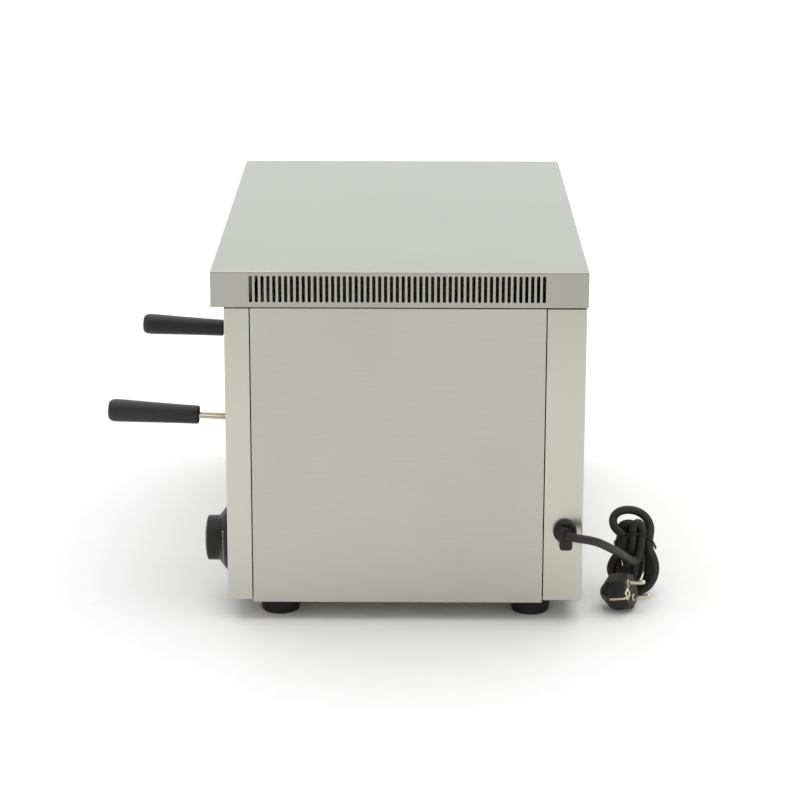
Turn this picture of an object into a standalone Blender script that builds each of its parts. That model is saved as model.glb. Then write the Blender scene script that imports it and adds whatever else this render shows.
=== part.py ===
"""Counter-top quartz grill oven with a pull-out grid, made as separate parts.

Metres, +Z up. The open front faces -Y, and the mains lead leaves the +X side near the rear. The origin is on
the floor, midway from side to side and midway from the handles' tips to the cover's rear edge.
"""

import math

import bmesh
import bpy
import numpy as np
from mathutils import Matrix, Vector

# ---- Driving dimensions ----
GAP = 0.0003  # between pieces that touch
SHEET = 0.001  # stainless sheet of the casing
LINER = 0.0008  # sheet of the grill chamber

HEIGHT = 0.376
COVER_W = 0.613
COVER_D = 0.385
COVER_RIM = 0.0372
COVER_OVERHANG = 0.0132  # ahead of the body's front
BODY_W = 0.610
BODY_TOP = 0.3377  # leaves a shadow gap under the cover's rim
PANEL_BOTTOM = 0.0201
STRIP_BOTTOM = 0.0228  # front and rear panels stand a little higher than the side panels
FRONT_STRIP = 0.0255  # side return of the front panel
REAR_STRIP = 0.0402  # side flange of the rear panel
SEAM = 0.001
HEM = 0.010  # inward flange of a side panel

HANDLE_REACH = 0.121  # handle tips ahead of the cover's front edge
SCREW_HEAD = 0.0012
OVERALL_D = HANDLE_REACH + COVER_D

COVER_FRONT = -OVERALL_D / 2 + HANDLE_REACH
COVER_REAR = COVER_FRONT + COVER_D
FRONT = COVER_FRONT + COVER_OVERHANG
REAR = COVER_REAR - SHEET - GAP
SIDE = BODY_W / 2

SLOT_W = 0.0034
SLOT_H = 0.0278
SLOT_PITCH = 0.00597
SLOT_COUNT = 51
SLOT_FIRST = 0.041  # first slot's centre behind the cover's front edge
SLOT_DROP = 0.0181  # slots' middle below the cover's top

BRACE_HALF = 0.020

FOOT_R = 0.0212
FOOT_H = 0.0208
FOOT_X = 0.268
FOOT_Y = 0.1327
FOOT_MID = (FRONT + REAR) / 2 + 0.0007

CHAMBER_X = 0.250  # inner half width of the grill chamber
CHAMBER_FLOOR = 0.1080
CHAMBER_TOP = 0.3212
CHAMBER_REAR = 0.2045

TUBE_R = 0.0055
TUBE_HALF = 0.262
TUBE_ROWS = {"upper": 0.300, "lower": 0.140}
TUBE_PLACES = {"front": -0.030, "rear": 0.110}
CAP_R = 0.010
CAP_L = 0.020
CAP_BORE = 0.012

GRID_Z = 0.1882
GRID_X = 0.2405
GRID_FRONT = -0.105
GRID_REAR = 0.190
FRAME_WIRE = 0.0025
BAR_WIRE = 0.0016
HANDLE_X = 0.1906
HANDLE_RISE = math.radians(3.0)
HANDLE_L = 0.0984
HANDLE_WIRE = 0.002
HANDLE_PAIR = 0.0055  # each handle wire's distance from the handle's axis
WIRE_KNEE = -0.090  # where the handle wires start to rise
WIRE_DEPTH = 0.060  # how far they reach into a handle

KNOB_X = 0.241
KNOB_Z = 0.070
KNOB_L = 0.027
SHAFT_R = 0.003
TIMER_SIZE = (0.048, 0.040, 0.048)

SWITCH_X = {"upper": 0.120, "lower": 0.060}
SWITCH_Z = 0.066
ROCKER_TILT = math.radians(10.0)  # at rest the lower half is pressed in
LAMP_X = 0.172

GLAND_Y = COVER_FRONT + 0.3657
GLAND_Z = 0.100
GLAND_HEAD = 0.01225

CORD_R = 0.0045
LEAD_STEP = 0.0105
HANK_X = (0.1802, 0.2264)
HANK_Y = (0.2839, 0.3431)
HANK_Z = (0.0003, 0.0953)
TIE_Z = 0.0650
TIE_W = 0.003
TIE_T = 0.0012

PLUG_MID = (0.2658, 0.2921, 0.0191)
PLUG_PIN_WAY = (0.412, 0.883, 0.223)
PLUG_CABLE_WAY = (-0.885, 0.330, 0.327)
PLUG_DEPTH = 0.033
PLUG_R = 0.0195
PIN_R = 0.0024
PIN_L = 0.019
PIN_SPACING = 0.019

# The lead's own points, from the gland's nose to the hank's front face.
LEAD_ROUTE = [
    (0.3192, 0.2357, 0.0998),
    (0.3245, 0.2399, 0.0995),
    (0.3275, 0.2467, 0.0990),
    (0.3262, 0.2537, 0.0975),
    (0.3225, 0.2603, 0.0950),
    (0.3160, 0.2692, 0.0902),
    (0.3020, 0.2808, 0.0803),
    (0.2830, 0.2930, 0.0680),
    (0.2640, 0.3021, 0.0560),
    (0.2480, 0.3090, 0.0474),
    (0.2370, 0.3139, 0.0440),
    (0.2288, 0.3175, 0.0441),
]

# colour, roughness, metallic
STAINLESS = ((0.50, 0.49, 0.45), 0.35, 1.0)
REFLECTOR = ((0.72, 0.72, 0.71), 0.15, 1.0)
CHROME = ((0.75, 0.75, 0.76), 0.12, 1.0)
PHENOLIC = ((0.035, 0.034, 0.035), 0.45, 0.0)
RUBBER = ((0.030, 0.029, 0.027), 0.60, 0.0)
QUARTZ = ((0.86, 0.86, 0.84), 0.10, 0.0)
CERAMIC = ((0.85, 0.82, 0.75), 0.60, 0.0)
NYLON = ((0.80, 0.79, 0.74), 0.50, 0.0)
BRASS = ((0.72, 0.64, 0.44), 0.25, 1.0)
ZINC = ((0.60, 0.60, 0.58), 0.30, 1.0)
AMBER = ((0.75, 0.28, 0.04), 0.20, 0.0)
RED = ((0.55, 0.03, 0.02), 0.25, 0.0)


# ---- Making and placing objects ----
def clear_scene():
    for obj in list(bpy.data.objects):
        bpy.data.objects.remove(obj, do_unlink=True)
    for name in ("quartz_grill_oven", "cutters"):
        group = bpy.data.collections.new(name)
        bpy.context.scene.collection.children.link(group)
        yield group


PARTS, CUTTERS = clear_scene()


def paint(obj, finish):
    """Give an object its own Principled material."""
    colour, roughness, metallic = finish
    material = bpy.data.materials.new(f"{obj.name}_finish")
    material.use_nodes = True
    shader = material.node_tree.nodes["Principled BSDF"]
    shader.inputs["Base Color"].default_value = (*colour, 1.0)
    shader.inputs["Roughness"].default_value = roughness
    shader.inputs["Metallic"].default_value = metallic
    obj.data.materials.append(material)


def place(name, mesh, finish, location=(0, 0, 0), rotation=None):
    """Put a mesh in the scene: as a part with its finish, or as a cutter where finish is None."""
    obj = bpy.data.objects.new(name, mesh)
    obj.location = location
    if rotation is not None:
        obj.rotation_euler = rotation.to_euler()
    if finish is None:
        CUTTERS.objects.link(obj)
        obj.hide_render = True
        obj.display_type = "WIRE"
    else:
        PARTS.objects.link(obj)
        paint(obj, finish)
    return obj


def mesh_from(name, bm):
    bmesh.ops.recalc_face_normals(bm, faces=bm.faces)
    mesh = bpy.data.meshes.new(name)
    bm.to_mesh(mesh)
    bm.free()
    return mesh


def box(name, low, high, finish=None):
    """A box between two corners, with its origin at its middle."""
    low, high = Vector(low), Vector(high)
    bm = bmesh.new()
    bmesh.ops.create_cube(bm, size=1.0)
    bmesh.ops.scale(bm, vec=high - low, verts=bm.verts)
    return place(name, mesh_from(name, bm), finish, (low + high) / 2)


def rod(name, start, end, radius, finish=None, sides=12, end_radius=None):
    """A straight cylinder or cone between two points."""
    start, end = Vector(start), Vector(end)
    way = end - start
    bm = bmesh.new()
    bmesh.ops.create_cone(
        bm,
        cap_ends=True,
        segments=sides,
        radius1=radius,
        radius2=radius if end_radius is None else end_radius,
        depth=way.length,
    )
    turn = way.to_track_quat("Z", "Y").to_matrix()
    return place(name, mesh_from(name, bm), finish, (start + end) / 2, turn)


def turned(name, profile, location, axis, finish=None, steps=24):
    """A profile of (radius, height) points, from the top down, turned about an axis through location."""
    mesh = bpy.data.meshes.new(name)
    points = [(radius, 0.0, height) for radius, height in profile]
    edges = [(i, i + 1) for i in range(len(points) - 1)]
    mesh.from_pydata(points, edges, [])
    obj = place(name, mesh, finish, location, Vector(axis).to_track_quat("Z", "Y").to_matrix())
    screw = obj.modifiers.new("turn", "SCREW")
    screw.steps = steps
    screw.render_steps = steps
    screw.use_merge_vertices = True
    screw.merge_threshold = 0.00005
    screw.use_smooth_shade = False
    return obj


def smooth(points, spacing):
    """Points at an even spacing along a Catmull-Rom curve through the given points."""
    p = np.array(points, dtype=float)
    p = np.vstack([2 * p[0] - p[1], p, 2 * p[-1] - p[-2]])
    t = np.linspace(0.0, 1.0, 24, endpoint=False)[:, None]
    runs = []
    for a, b, c, d in zip(p[:-3], p[1:-2], p[2:-1], p[3:]):
        square, cube = 2 * a - 5 * b + 4 * c - d, 3 * b - a - 3 * c + d
        runs.append(0.5 * (2 * b + (c - a) * t + square * t**2 + cube * t**3))
    fine = np.vstack([*runs, p[-2:-1]])
    along = np.concatenate([[0.0], np.cumsum(np.linalg.norm(np.diff(fine, axis=0), axis=1))])
    count = max(2, round(along[-1] / spacing) + 1)
    even = np.linspace(0.0, along[-1], count)
    return np.stack([np.interp(even, along, fine[:, k]) for k in range(3)], axis=1)


def wire(name, points, radius, finish=None, closed=False, resolution=2):
    """A round wire through points, made a closed mesh so that it can be joined."""
    curve = bpy.data.curves.new(name, "CURVE")
    curve.dimensions = "3D"
    curve.bevel_depth = radius
    curve.bevel_resolution = resolution
    curve.use_fill_caps = True
    curve.render_resolution_u = 0
    spline = curve.splines.new("POLY")
    spline.points.add(len(points) - 1)
    for point, place_of in zip(spline.points, points):
        point.co = (*place_of, 1.0)
    spline.use_cyclic_u = closed
    source = bpy.data.objects.new(f"{name}_curve", curve)
    CUTTERS.objects.link(source)
    bpy.context.view_layer.update()
    mesh = bpy.data.meshes.new_from_object(source.evaluated_get(bpy.context.evaluated_depsgraph_get()))
    bm = bmesh.new()
    bm.from_mesh(mesh)
    bmesh.ops.remove_doubles(bm, verts=bm.verts, dist=0.00002)
    obj = place(name, mesh_from(name, bm), finish)
    obj.matrix_world = source.matrix_world
    bpy.data.objects.remove(source)
    return obj


def outline(name, loops, thickness, location, rotation, finish=None):
    """A flat sheet from 2D loops, the first one the edge and the others holes, made a closed mesh."""
    curve = bpy.data.curves.new(name, "CURVE")
    curve.dimensions = "2D"
    curve.fill_mode = "BOTH"
    curve.extrude = thickness / 2
    curve.render_resolution_u = 0
    for loop in loops:
        spline = curve.splines.new("POLY")
        spline.points.add(len(loop) - 1)
        for point, (x, y) in zip(spline.points, loop):
            point.co = (x, y, 0.0, 1.0)
        spline.use_cyclic_u = True
    source = bpy.data.objects.new(f"{name}_curve", curve)
    CUTTERS.objects.link(source)
    bpy.context.view_layer.update()
    mesh = bpy.data.meshes.new_from_object(source.evaluated_get(bpy.context.evaluated_depsgraph_get()))
    bm = bmesh.new()
    bm.from_mesh(mesh)
    bmesh.ops.remove_doubles(bm, verts=bm.verts, dist=0.00002)
    obj = place(name, mesh_from(name, bm), finish, location, rotation)
    bpy.data.objects.remove(source)
    return obj


def combine(obj, others, operation):
    """Boolean each other object into obj, in order."""
    for other in others:
        step = obj.modifiers.new(f"{operation.lower()}_{other.name}", "BOOLEAN")
        step.operation = operation
        step.solver = "EXACT"
        step.object = other
    return obj


def cut(obj, *cutters):
    return combine(obj, cutters, "DIFFERENCE")


def join(obj, *others):
    return combine(obj, others, "UNION")


def slot_row(name, count, pitch, first, run_axis, cut_axis, size, depth):
    """One cutter with a row of upright slots with rounded ends; size is the slot's width and height."""
    width, height = size
    run_axis, cut_axis = Vector(run_axis), Vector(cut_axis)
    frame = Matrix((run_axis, (0, 0, 1), cut_axis)).transposed().to_4x4()
    bm = bmesh.new()
    for i in range(count):
        middle = Vector(first) + run_axis * pitch * i - cut_axis * depth / 2
        turn = Matrix.Rotation(math.pi / 8, 4, "Z")
        radius = width / 2 / math.cos(math.pi / 8)
        made = bmesh.ops.create_circle(bm, cap_ends=True, segments=8, radius=radius, matrix=turn)
        for vert in made["verts"]:
            vert.co.y += math.copysign((height - width) / 2, vert.co.y)
        bmesh.ops.transform(bm, matrix=Matrix.Translation(middle) @ frame, verts=made["verts"])
        face = made["verts"][0].link_faces[0]
        grown = bmesh.ops.extrude_face_region(bm, geom=[face], use_keep_orig=True)
        verts = [g for g in grown["geom"] if isinstance(g, bmesh.types.BMVert)]
        bmesh.ops.translate(bm, vec=cut_axis * depth, verts=verts)
    return place(name, mesh_from(name, bm), None)


# ---- Casing ----
def make_top_cover():
    low = (-COVER_W / 2, COVER_FRONT, HEIGHT - COVER_RIM)
    high = (COVER_W / 2, COVER_REAR, HEIGHT)
    cover = box("top_cover", low, high, STAINLESS)
    hollow = box(
        "cover_hollow",
        (low[0] + SHEET, low[1] + SHEET, low[2] - SHEET),
        (high[0] - SHEET, high[1] - SHEET, high[2] - SHEET),
    )
    first = (0.0, COVER_FRONT + SLOT_FIRST, HEIGHT - SLOT_DROP)
    slots = slot_row(
        "cover_slots", SLOT_COUNT, SLOT_PITCH, first, (0, 1, 0), (1, 0, 0), (SLOT_W, SLOT_H), COVER_W + 0.02
    )
    cut(cover, hollow, slots)


def make_cover_brace():
    """A channel, open side down, that stands on the chamber's roof and carries the middle of the cover."""
    low = (-BRACE_HALF, FRONT + FRONT_STRIP + SEAM, CHAMBER_TOP + LINER + GAP)
    high = (BRACE_HALF, CHAMBER_REAR, HEIGHT - SHEET - GAP)
    brace = box("cover_brace", low, high, STAINLESS)
    hollow = box(
        "brace_hollow",
        (low[0] + SHEET, low[1] - SHEET, low[2] - SHEET),
        (high[0] - SHEET, high[1] + SHEET, high[2] - SHEET),
    )
    cut(brace, hollow)


def make_side_panel(name, sign):
    """A plate on one side of the body, hemmed inwards on its four edges."""
    outer = sign * SIDE
    front, rear = FRONT + FRONT_STRIP + SEAM, REAR - REAR_STRIP - SEAM
    inner = outer - sign * HEM
    panel = box(
        name, (min(outer, inner), front, PANEL_BOTTOM), (max(outer, inner), rear, BODY_TOP), STAINLESS
    )
    face = outer - sign * SHEET
    beyond = inner - sign * SHEET
    cut(
        panel,
        box(
            f"{name}_hollow",
            (min(face, beyond), front + SHEET, PANEL_BOTTOM + SHEET),
            (max(face, beyond), rear - SHEET, BODY_TOP - SHEET),
        ),
    )


def make_front_panel():
    """The fascia, folded back along all four edges, with the chamber's mouth and the controls' holes."""
    low, high = (-SIDE, FRONT, STRIP_BOTTOM), (SIDE, FRONT + FRONT_STRIP, BODY_TOP)
    panel = box("front_panel", low, high, STAINLESS)
    through = (FRONT - SHEET, FRONT + 2 * SHEET)
    cutters = [
        box(
            "front_hollow",
            (low[0] + SHEET, low[1] + SHEET, low[2] + SHEET),
            (high[0] - SHEET, high[1] + SHEET, high[2] - SHEET),
        ),
        box("front_mouth", (-0.2485, through[0], 0.1086), (0.2485, through[1], 0.3195)),
        rod("timer_hole", (KNOB_X, through[0], KNOB_Z), (KNOB_X, through[1], KNOB_Z), 0.0045),
        rod("lamp_hole", (LAMP_X, through[0], SWITCH_Z), (LAMP_X, through[1], SWITCH_Z), 0.0054, sides=16),
    ]
    for row, x in SWITCH_X.items():
        cutters.append(
            box(
                f"{row}_switch_cutout",
                (x - 0.0113, through[0], SWITCH_Z - 0.0143),
                (x + 0.0113, through[1], SWITCH_Z + 0.0143),
            )
        )
    cut(panel, *cutters)


def make_rear_panel():
    """The back sheet with deep side flanges, a row of vents and the gland's hole."""
    low, high = (-SIDE, REAR - REAR_STRIP, STRIP_BOTTOM), (SIDE, REAR, BODY_TOP)
    panel = box("rear_panel", low, high, STAINLESS)
    vents = 24
    run = (vents - 1) * SLOT_PITCH * 1.5
    cut(
        panel,
        box(
            "rear_hollow",
            (low[0] + SHEET, low[1] - SHEET, low[2] + SHEET),
            (high[0] - SHEET, high[1] - SHEET, high[2] - SHEET),
        ),
        rod(
            "gland_hole",
            (SIDE - 0.004, GLAND_Y, GLAND_Z),
            (SIDE + 0.002, GLAND_Y, GLAND_Z),
            0.0105,
            sides=16,
        ),
        slot_row(
            "rear_slots",
            vents,
            SLOT_PITCH * 1.5,
            (-run / 2, REAR, 0.300),
            (1, 0, 0),
            (0, -1, 0),
            (SLOT_W, SLOT_H),
            0.008,
        ),
    )


def make_base():
    base = STRIP_BOTTOM - GAP
    wide = SIDE - HEM - GAP
    box("base_plate", (-wide, FRONT + SHEET, base - SHEET), (wide, REAR - SHEET, base), STAINLESS)
    profile = [
        (0.0, FOOT_H),
        (FOOT_R, FOOT_H),
        (FOOT_R, FOOT_H - 0.004),
        (FOOT_R - 0.0012, 0.0034),
        (FOOT_R - 0.0020, 0.0010),
        (FOOT_R - 0.0034, 0.0),
        (0.0, 0.0),
    ]
    for side, x in (("left", -FOOT_X), ("right", FOOT_X)):
        for end, y in (("front", -FOOT_Y), ("rear", FOOT_Y)):
            turned(f"foot_{end}_{side}", profile, (x, FOOT_MID + y, 0.0), (0, 0, 1), RUBBER, steps=20)


def make_rear_screws():
    """Pan-head screws that hold the rear panel, one in each corner."""
    profile = [
        (0.0, SCREW_HEAD),
        (0.0020, SCREW_HEAD - 0.0002),
        (0.0033, 0.0007),
        (0.0036, GAP),
        (0.0, GAP),
    ]
    for side, x in (("left", -0.276), ("right", 0.276)):
        for level, z in (("lower", 0.048), ("upper", 0.318)):
            turned(f"rear_screw_{level}_{side}", profile, (x, REAR, z), (0, 1, 0), ZINC, steps=12)


# ---- Grill chamber ----
def make_chamber():
    front = FRONT + SHEET + GAP
    low_z, high_z = CHAMBER_FLOOR + LINER + GAP, CHAMBER_TOP - GAP
    wide = CHAMBER_X + LINER
    for side, sign in (("left", -1), ("right", 1)):
        inner, outer = sign * CHAMBER_X, sign * wide
        wall = box(
            f"chamber_wall_{side}",
            (min(inner, outer), front, low_z),
            (max(inner, outer), CHAMBER_REAR - GAP, high_z),
            REFLECTOR,
        )
        holes = []
        for row, z in TUBE_ROWS.items():
            for place_of, y in TUBE_PLACES.items():
                start, end = sign * (CHAMBER_X - 0.005), sign * (CHAMBER_X + 0.005)
                name = f"{row}_{place_of}_{side}_hole"
                holes.append(rod(name, (start, y, z), (end, y, z), TUBE_R + 0.0007, sides=12))
        cut(wall, *holes)
    box("chamber_back", (-wide, CHAMBER_REAR, low_z), (wide, CHAMBER_REAR + LINER, high_z), REFLECTOR)
    rear = CHAMBER_REAR + LINER
    box("chamber_roof", (-wide, front, CHAMBER_TOP), (wide, rear, CHAMBER_TOP + LINER), REFLECTOR)
    box("chamber_floor", (-wide, front, CHAMBER_FLOOR), (wide, rear, CHAMBER_FLOOR + LINER), REFLECTOR)


def make_rack_guides():
    """Two channels on the side walls; the grid's side wires run between their ledges."""
    for side, sign in (("left", -1), ("right", 1)):
        back = CHAMBER_X - GAP
        lip = 0.2365
        low = GRID_Z - FRAME_WIRE - GAP - LINER
        high = GRID_Z + FRAME_WIRE + 0.0009 + LINER
        profile = [
            (back, low),
            (back, high),
            (lip, high),
            (lip, high - LINER),
            (back - LINER, high - LINER),
            (back - LINER, low + LINER),
            (lip, low + LINER),
            (lip, low),
        ]
        front, rear = FRONT + 0.008, CHAMBER_REAR - 0.006
        outline(
            f"rack_guide_{side}",
            [[(sign * x, z) for x, z in profile]],
            rear - front,
            (0.0, (front + rear) / 2, 0.0),
            Matrix.Rotation(math.pi / 2, 3, "X"),
            STAINLESS,
        )


def make_heaters():
    """Quartz tubes across the chamber, each end in a ceramic cap outside the side wall."""
    for row, z in TUBE_ROWS.items():
        for place_of, y in TUBE_PLACES.items():
            name = f"quartz_tube_{row}_{place_of}"
            rod(name, (-TUBE_HALF, y, z), (TUBE_HALF, y, z), TUBE_R, QUARTZ, sides=12)
            for side, sign in (("left", -1), ("right", 1)):
                bore = TUBE_R + GAP
                profile = [
                    (0.0, CAP_L),
                    (CAP_R - 0.001, CAP_L),
                    (CAP_R, CAP_L - 0.001),
                    (CAP_R, 0.0),
                    (bore, 0.0),
                    (bore, CAP_BORE),
                    (0.0, CAP_BORE),
                ]
                base = (sign * (CHAMBER_X + LINER + GAP), y, z)
                turned(f"tube_cap_{row}_{place_of}_{side}", profile, base, (sign, 0, 0), CERAMIC, steps=12)


def make_guard(row, z, outward):
    """Wires that keep food off the tubes: two rails across, and wires from front to back on them."""
    half = CHAMBER_X - 2 * GAP
    rail_r, wire_r = 0.0018, 0.0014
    front, rear = -0.078, 0.158
    start = rod(f"guard_{row}", (-half, front, z), (half, front, z), rail_r, CHROME, sides=8)
    pieces = [rod(f"guard_{row}_rear_rail", (-half, rear, z), (half, rear, z), rail_r, sides=8)]
    level = z + outward * (rail_r + wire_r - 0.0006)
    count = 9
    for i in range(count):
        x = -0.216 + 0.432 * i / (count - 1)
        pieces.append(
            rod(f"guard_{row}_wire_{i}", (x, front - 0.006, level), (x, rear + 0.006, level), wire_r, sides=6)
        )
    join(start, *pieces)


# ---- Grid and handles ----
def handle_axis(sign, along, across=0.0):
    """A point in a handle, given its distance along the axis from the inner end and its offset in X."""
    tip_y = -OVERALL_D / 2
    inner_y = tip_y + HANDLE_L * math.cos(HANDLE_RISE)
    inner_z = GRID_Z + (WIRE_KNEE - inner_y) * math.tan(HANDLE_RISE)
    return (
        sign * HANDLE_X + across,
        inner_y - along * math.cos(HANDLE_RISE),
        inner_z + along * math.sin(HANDLE_RISE),
    )


def make_grid():
    """One welded wire grid: a frame, two stiffening bars, the grill bars and the handles' wires."""
    corner = 0.012
    frame = []
    for cx, cy, start in (
        (GRID_X - corner, GRID_REAR - corner, 0),
        (-GRID_X + corner, GRID_REAR - corner, 90),
        (-GRID_X + corner, GRID_FRONT + corner, 180),
        (GRID_X - corner, GRID_FRONT + corner, 270),
    ):
        for step in range(4):
            angle = math.radians(start + 30 * step)
            frame.append((cx + corner * math.cos(angle), cy + corner * math.sin(angle), GRID_Z))
    grid = wire("grill_grid", frame, FRAME_WIRE, CHROME, closed=True, resolution=1)
    pieces = []
    cross = []
    for i in range(2):
        y = GRID_FRONT + (GRID_REAR - GRID_FRONT) * (i + 1) / 3
        cross.append(y)
        pieces.append(rod(f"grid_cross_{i}", (-GRID_X, y, GRID_Z), (GRID_X, y, GRID_Z), 0.0020, sides=8))
    bars = 12
    level = GRID_Z + FRAME_WIRE + BAR_WIRE - 0.0008
    for i in range(bars):
        x = -0.220 + 0.440 * i / (bars - 1)
        pieces.append(
            rod(
                f"grid_bar_{i}",
                (x, GRID_FRONT - 0.001, level),
                (x, GRID_REAR + 0.001, level),
                BAR_WIRE,
                sides=6,
            )
        )
    for side, sign in (("left", -1), ("right", 1)):
        for pair in (-HANDLE_PAIR, HANDLE_PAIR):
            points = [
                (sign * HANDLE_X + pair, cross[0] + 0.003, GRID_Z),
                (sign * HANDLE_X + pair, WIRE_KNEE, GRID_Z),
                handle_axis(sign, WIRE_DEPTH, pair),
            ]
            pieces.append(wire(f"handle_wire_{side}_{pair > 0:d}", points, HANDLE_WIRE, resolution=1))
    join(grid, *pieces)


def make_handles():
    profile = [
        (0.0, HANDLE_L),
        (0.0060, HANDLE_L - 0.0006),
        (0.0098, HANDLE_L - 0.0026),
        (0.0117, HANDLE_L - 0.0060),
        (0.01225, HANDLE_L - 0.0110),
        (0.0099, 0.0012),
        (0.0090, 0.0),
        (0.0, 0.0),
    ]
    for side, sign in (("left", -1), ("right", 1)):
        inner = Vector(handle_axis(sign, 0.0))
        way = Vector(handle_axis(sign, 1.0)) - inner
        handle = turned(f"handle_{side}", profile, inner, way, PHENOLIC, steps=20)
        bores = []
        for pair in (-HANDLE_PAIR, HANDLE_PAIR):
            bores.append(
                rod(
                    f"handle_{side}_bore_{pair > 0:d}",
                    handle_axis(sign, -0.004, pair),
                    handle_axis(sign, WIRE_DEPTH + 0.001, pair),
                    HANDLE_WIRE + 0.0005,
                    sides=8,
                )
            )
        cut(handle, *bores)


def make_crumb_tray():
    """A shallow tray that rests on the chamber floor, its front wall just ahead of the fascia."""
    low = (-0.244, FRONT - 0.0036, CHAMBER_FLOOR + LINER + 0.0004)
    high = (0.244, CHAMBER_REAR - 0.006, low[2] + 0.012)
    tray = box("crumb_tray", low, high, STAINLESS)
    cut(
        tray,
        box(
            "tray_hollow",
            (low[0] + LINER, low[1] + LINER, low[2] + LINER),
            (high[0] - LINER, high[1] - LINER, high[2] + LINER),
        ),
    )


# ---- Controls ----
def make_timer():
    """A clockwork timer behind the fascia, its shaft, and the knob on it."""
    wide, deep, tall = TIMER_SIZE
    back = FRONT + SHEET + GAP
    body = box(
        "timer_body",
        (KNOB_X - wide / 2, back, KNOB_Z - tall / 2),
        (KNOB_X + wide / 2, back + deep, KNOB_Z + tall / 2),
        ZINC,
    )
    socket = 0.010
    ends = (KNOB_X, back - SHEET, KNOB_Z), (KNOB_X, back + socket, KNOB_Z)
    cut(body, rod("timer_socket", *ends, SHAFT_R + GAP))
    knob_back = FRONT - 0.0006
    grip = 0.014
    rod(
        "timer_shaft",
        (KNOB_X, back + socket - GAP, KNOB_Z),
        (KNOB_X, knob_back - grip + GAP, KNOB_Z),
        SHAFT_R,
        ZINC,
    )
    profile = [
        (0.0, KNOB_L),
        (0.0120, KNOB_L - 0.0006),
        (0.0195, KNOB_L - 0.0020),
        (0.0232, KNOB_L - 0.0040),
        (0.0240, KNOB_L - 0.0060),
        (0.0240, 0.0117),
        (0.0335, 0.0044),
        (0.0350, 0.0012),
        (0.0350, 0.0),
        (0.0, 0.0),
    ]
    knob = turned("timer_knob", profile, (KNOB_X, knob_back, KNOB_Z), (0, -1, 0), PHENOLIC, steps=32)
    ends = (KNOB_X, knob_back + 0.002, KNOB_Z), (KNOB_X, knob_back - grip, KNOB_Z)
    cut(knob, rod("knob_bore", *ends, SHAFT_R + GAP))


def make_switches():
    """Two snap-in rocker switches, one for each row of tubes. Each rocker turns about its middle."""
    for row, x in SWITCH_X.items():
        half_w, half_h = 0.0125, 0.0160
        bezel = box(
            f"switch_housing_{row}",
            (x - half_w, FRONT - 0.0022, SWITCH_Z - half_h),
            (x + half_w, FRONT - GAP, SWITCH_Z + half_h),
            PHENOLIC,
        )
        body = box(
            f"switch_body_{row}",
            (x - 0.0110, FRONT - 0.0010, SWITCH_Z - 0.0140),
            (x + 0.0110, FRONT + 0.0240, SWITCH_Z + 0.0140),
        )
        pocket = box(
            f"switch_pocket_{row}",
            (x - 0.0088, FRONT - 0.0040, SWITCH_Z - 0.0112),
            (x + 0.0088, FRONT + 0.0085, SWITCH_Z + 0.0112),
        )
        join(bezel, body)
        cut(bezel, pocket)
        profile = [(-0.0095, 0.0045), (0.0, 0.0028), (0.0095, 0.0045), (0.0095, -0.0025), (-0.0095, -0.0025)]
        pivot = (x, FRONT + 0.0008, SWITCH_Z)
        flat = Matrix.Rotation(ROCKER_TILT, 3, "X") @ Matrix(((0, 0, 1), (0, -1, 0), (1, 0, 0)))
        outline(f"switch_rocker_{row}", [profile], 0.0168, pivot, flat, RED)


def make_lamp():
    profile = [
        (0.0, 0.0034),
        (0.0030, 0.0030),
        (0.0048, 0.0016),
        (0.0066, 0.0012),
        (0.0066, 0.0),
        (0.0050, 0.0),
        (0.0050, -0.0160),
        (0.0, -0.0160),
    ]
    turned("pilot_lamp", profile, (LAMP_X, FRONT - GAP, SWITCH_Z), (0, -1, 0), AMBER, steps=16)


# ---- Electrics inside ----
def make_electrics():
    floor = STRIP_BOTTOM
    block = box("terminal_block", (0.235, 0.188, floor), (0.285, 0.206, floor + 0.018), NYLON)
    screws = []
    for i in range(3):
        x = 0.244 + 0.016 * i
        start, end = (x, 0.197, floor + 0.010), (x, 0.197, floor + 0.020)
        screws.append(rod(f"terminal_well_{i}", start, end, 0.0035, sides=10))
    cut(block, *screws)
    rear = CHAMBER_REAR + LINER + GAP
    profile = [(0.0, 0.011), (0.0085, 0.011), (0.0120, 0.0065), (0.0120, 0.0), (0.0, 0.0)]
    turned("thermal_cutout", profile, (0.060, rear, 0.240), (0, 1, 0), NYLON, steps=16)
    inner_lead = [
        (SIDE - 0.0142, GLAND_Y, GLAND_Z),
        (0.2820, GLAND_Y, 0.0975),
        (0.2730, GLAND_Y - 0.001, 0.0880),
        (0.2650, 0.2290, 0.0640),
        (0.2600, 0.2220, 0.0375),
        (0.2600, 0.2085, 0.0320),
    ]
    wire("mains_tail", smooth(inner_lead, 0.011), 0.0040, RUBBER)
    loom = [
        (0.2600, 0.1865, 0.0320),
        (0.2615, 0.1500, 0.0360),
        (0.2640, 0.0500, 0.0440),
        (0.2600, -0.0200, 0.0520),
        (KNOB_X + 0.004, FRONT + TIMER_SIZE[1] + 0.0180, KNOB_Z - 0.002),
        (KNOB_X, FRONT + TIMER_SIZE[1] + 0.0030, KNOB_Z),
    ]
    wire("wiring_loom", smooth(loom, 0.022), 0.0035, RUBBER)


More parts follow.
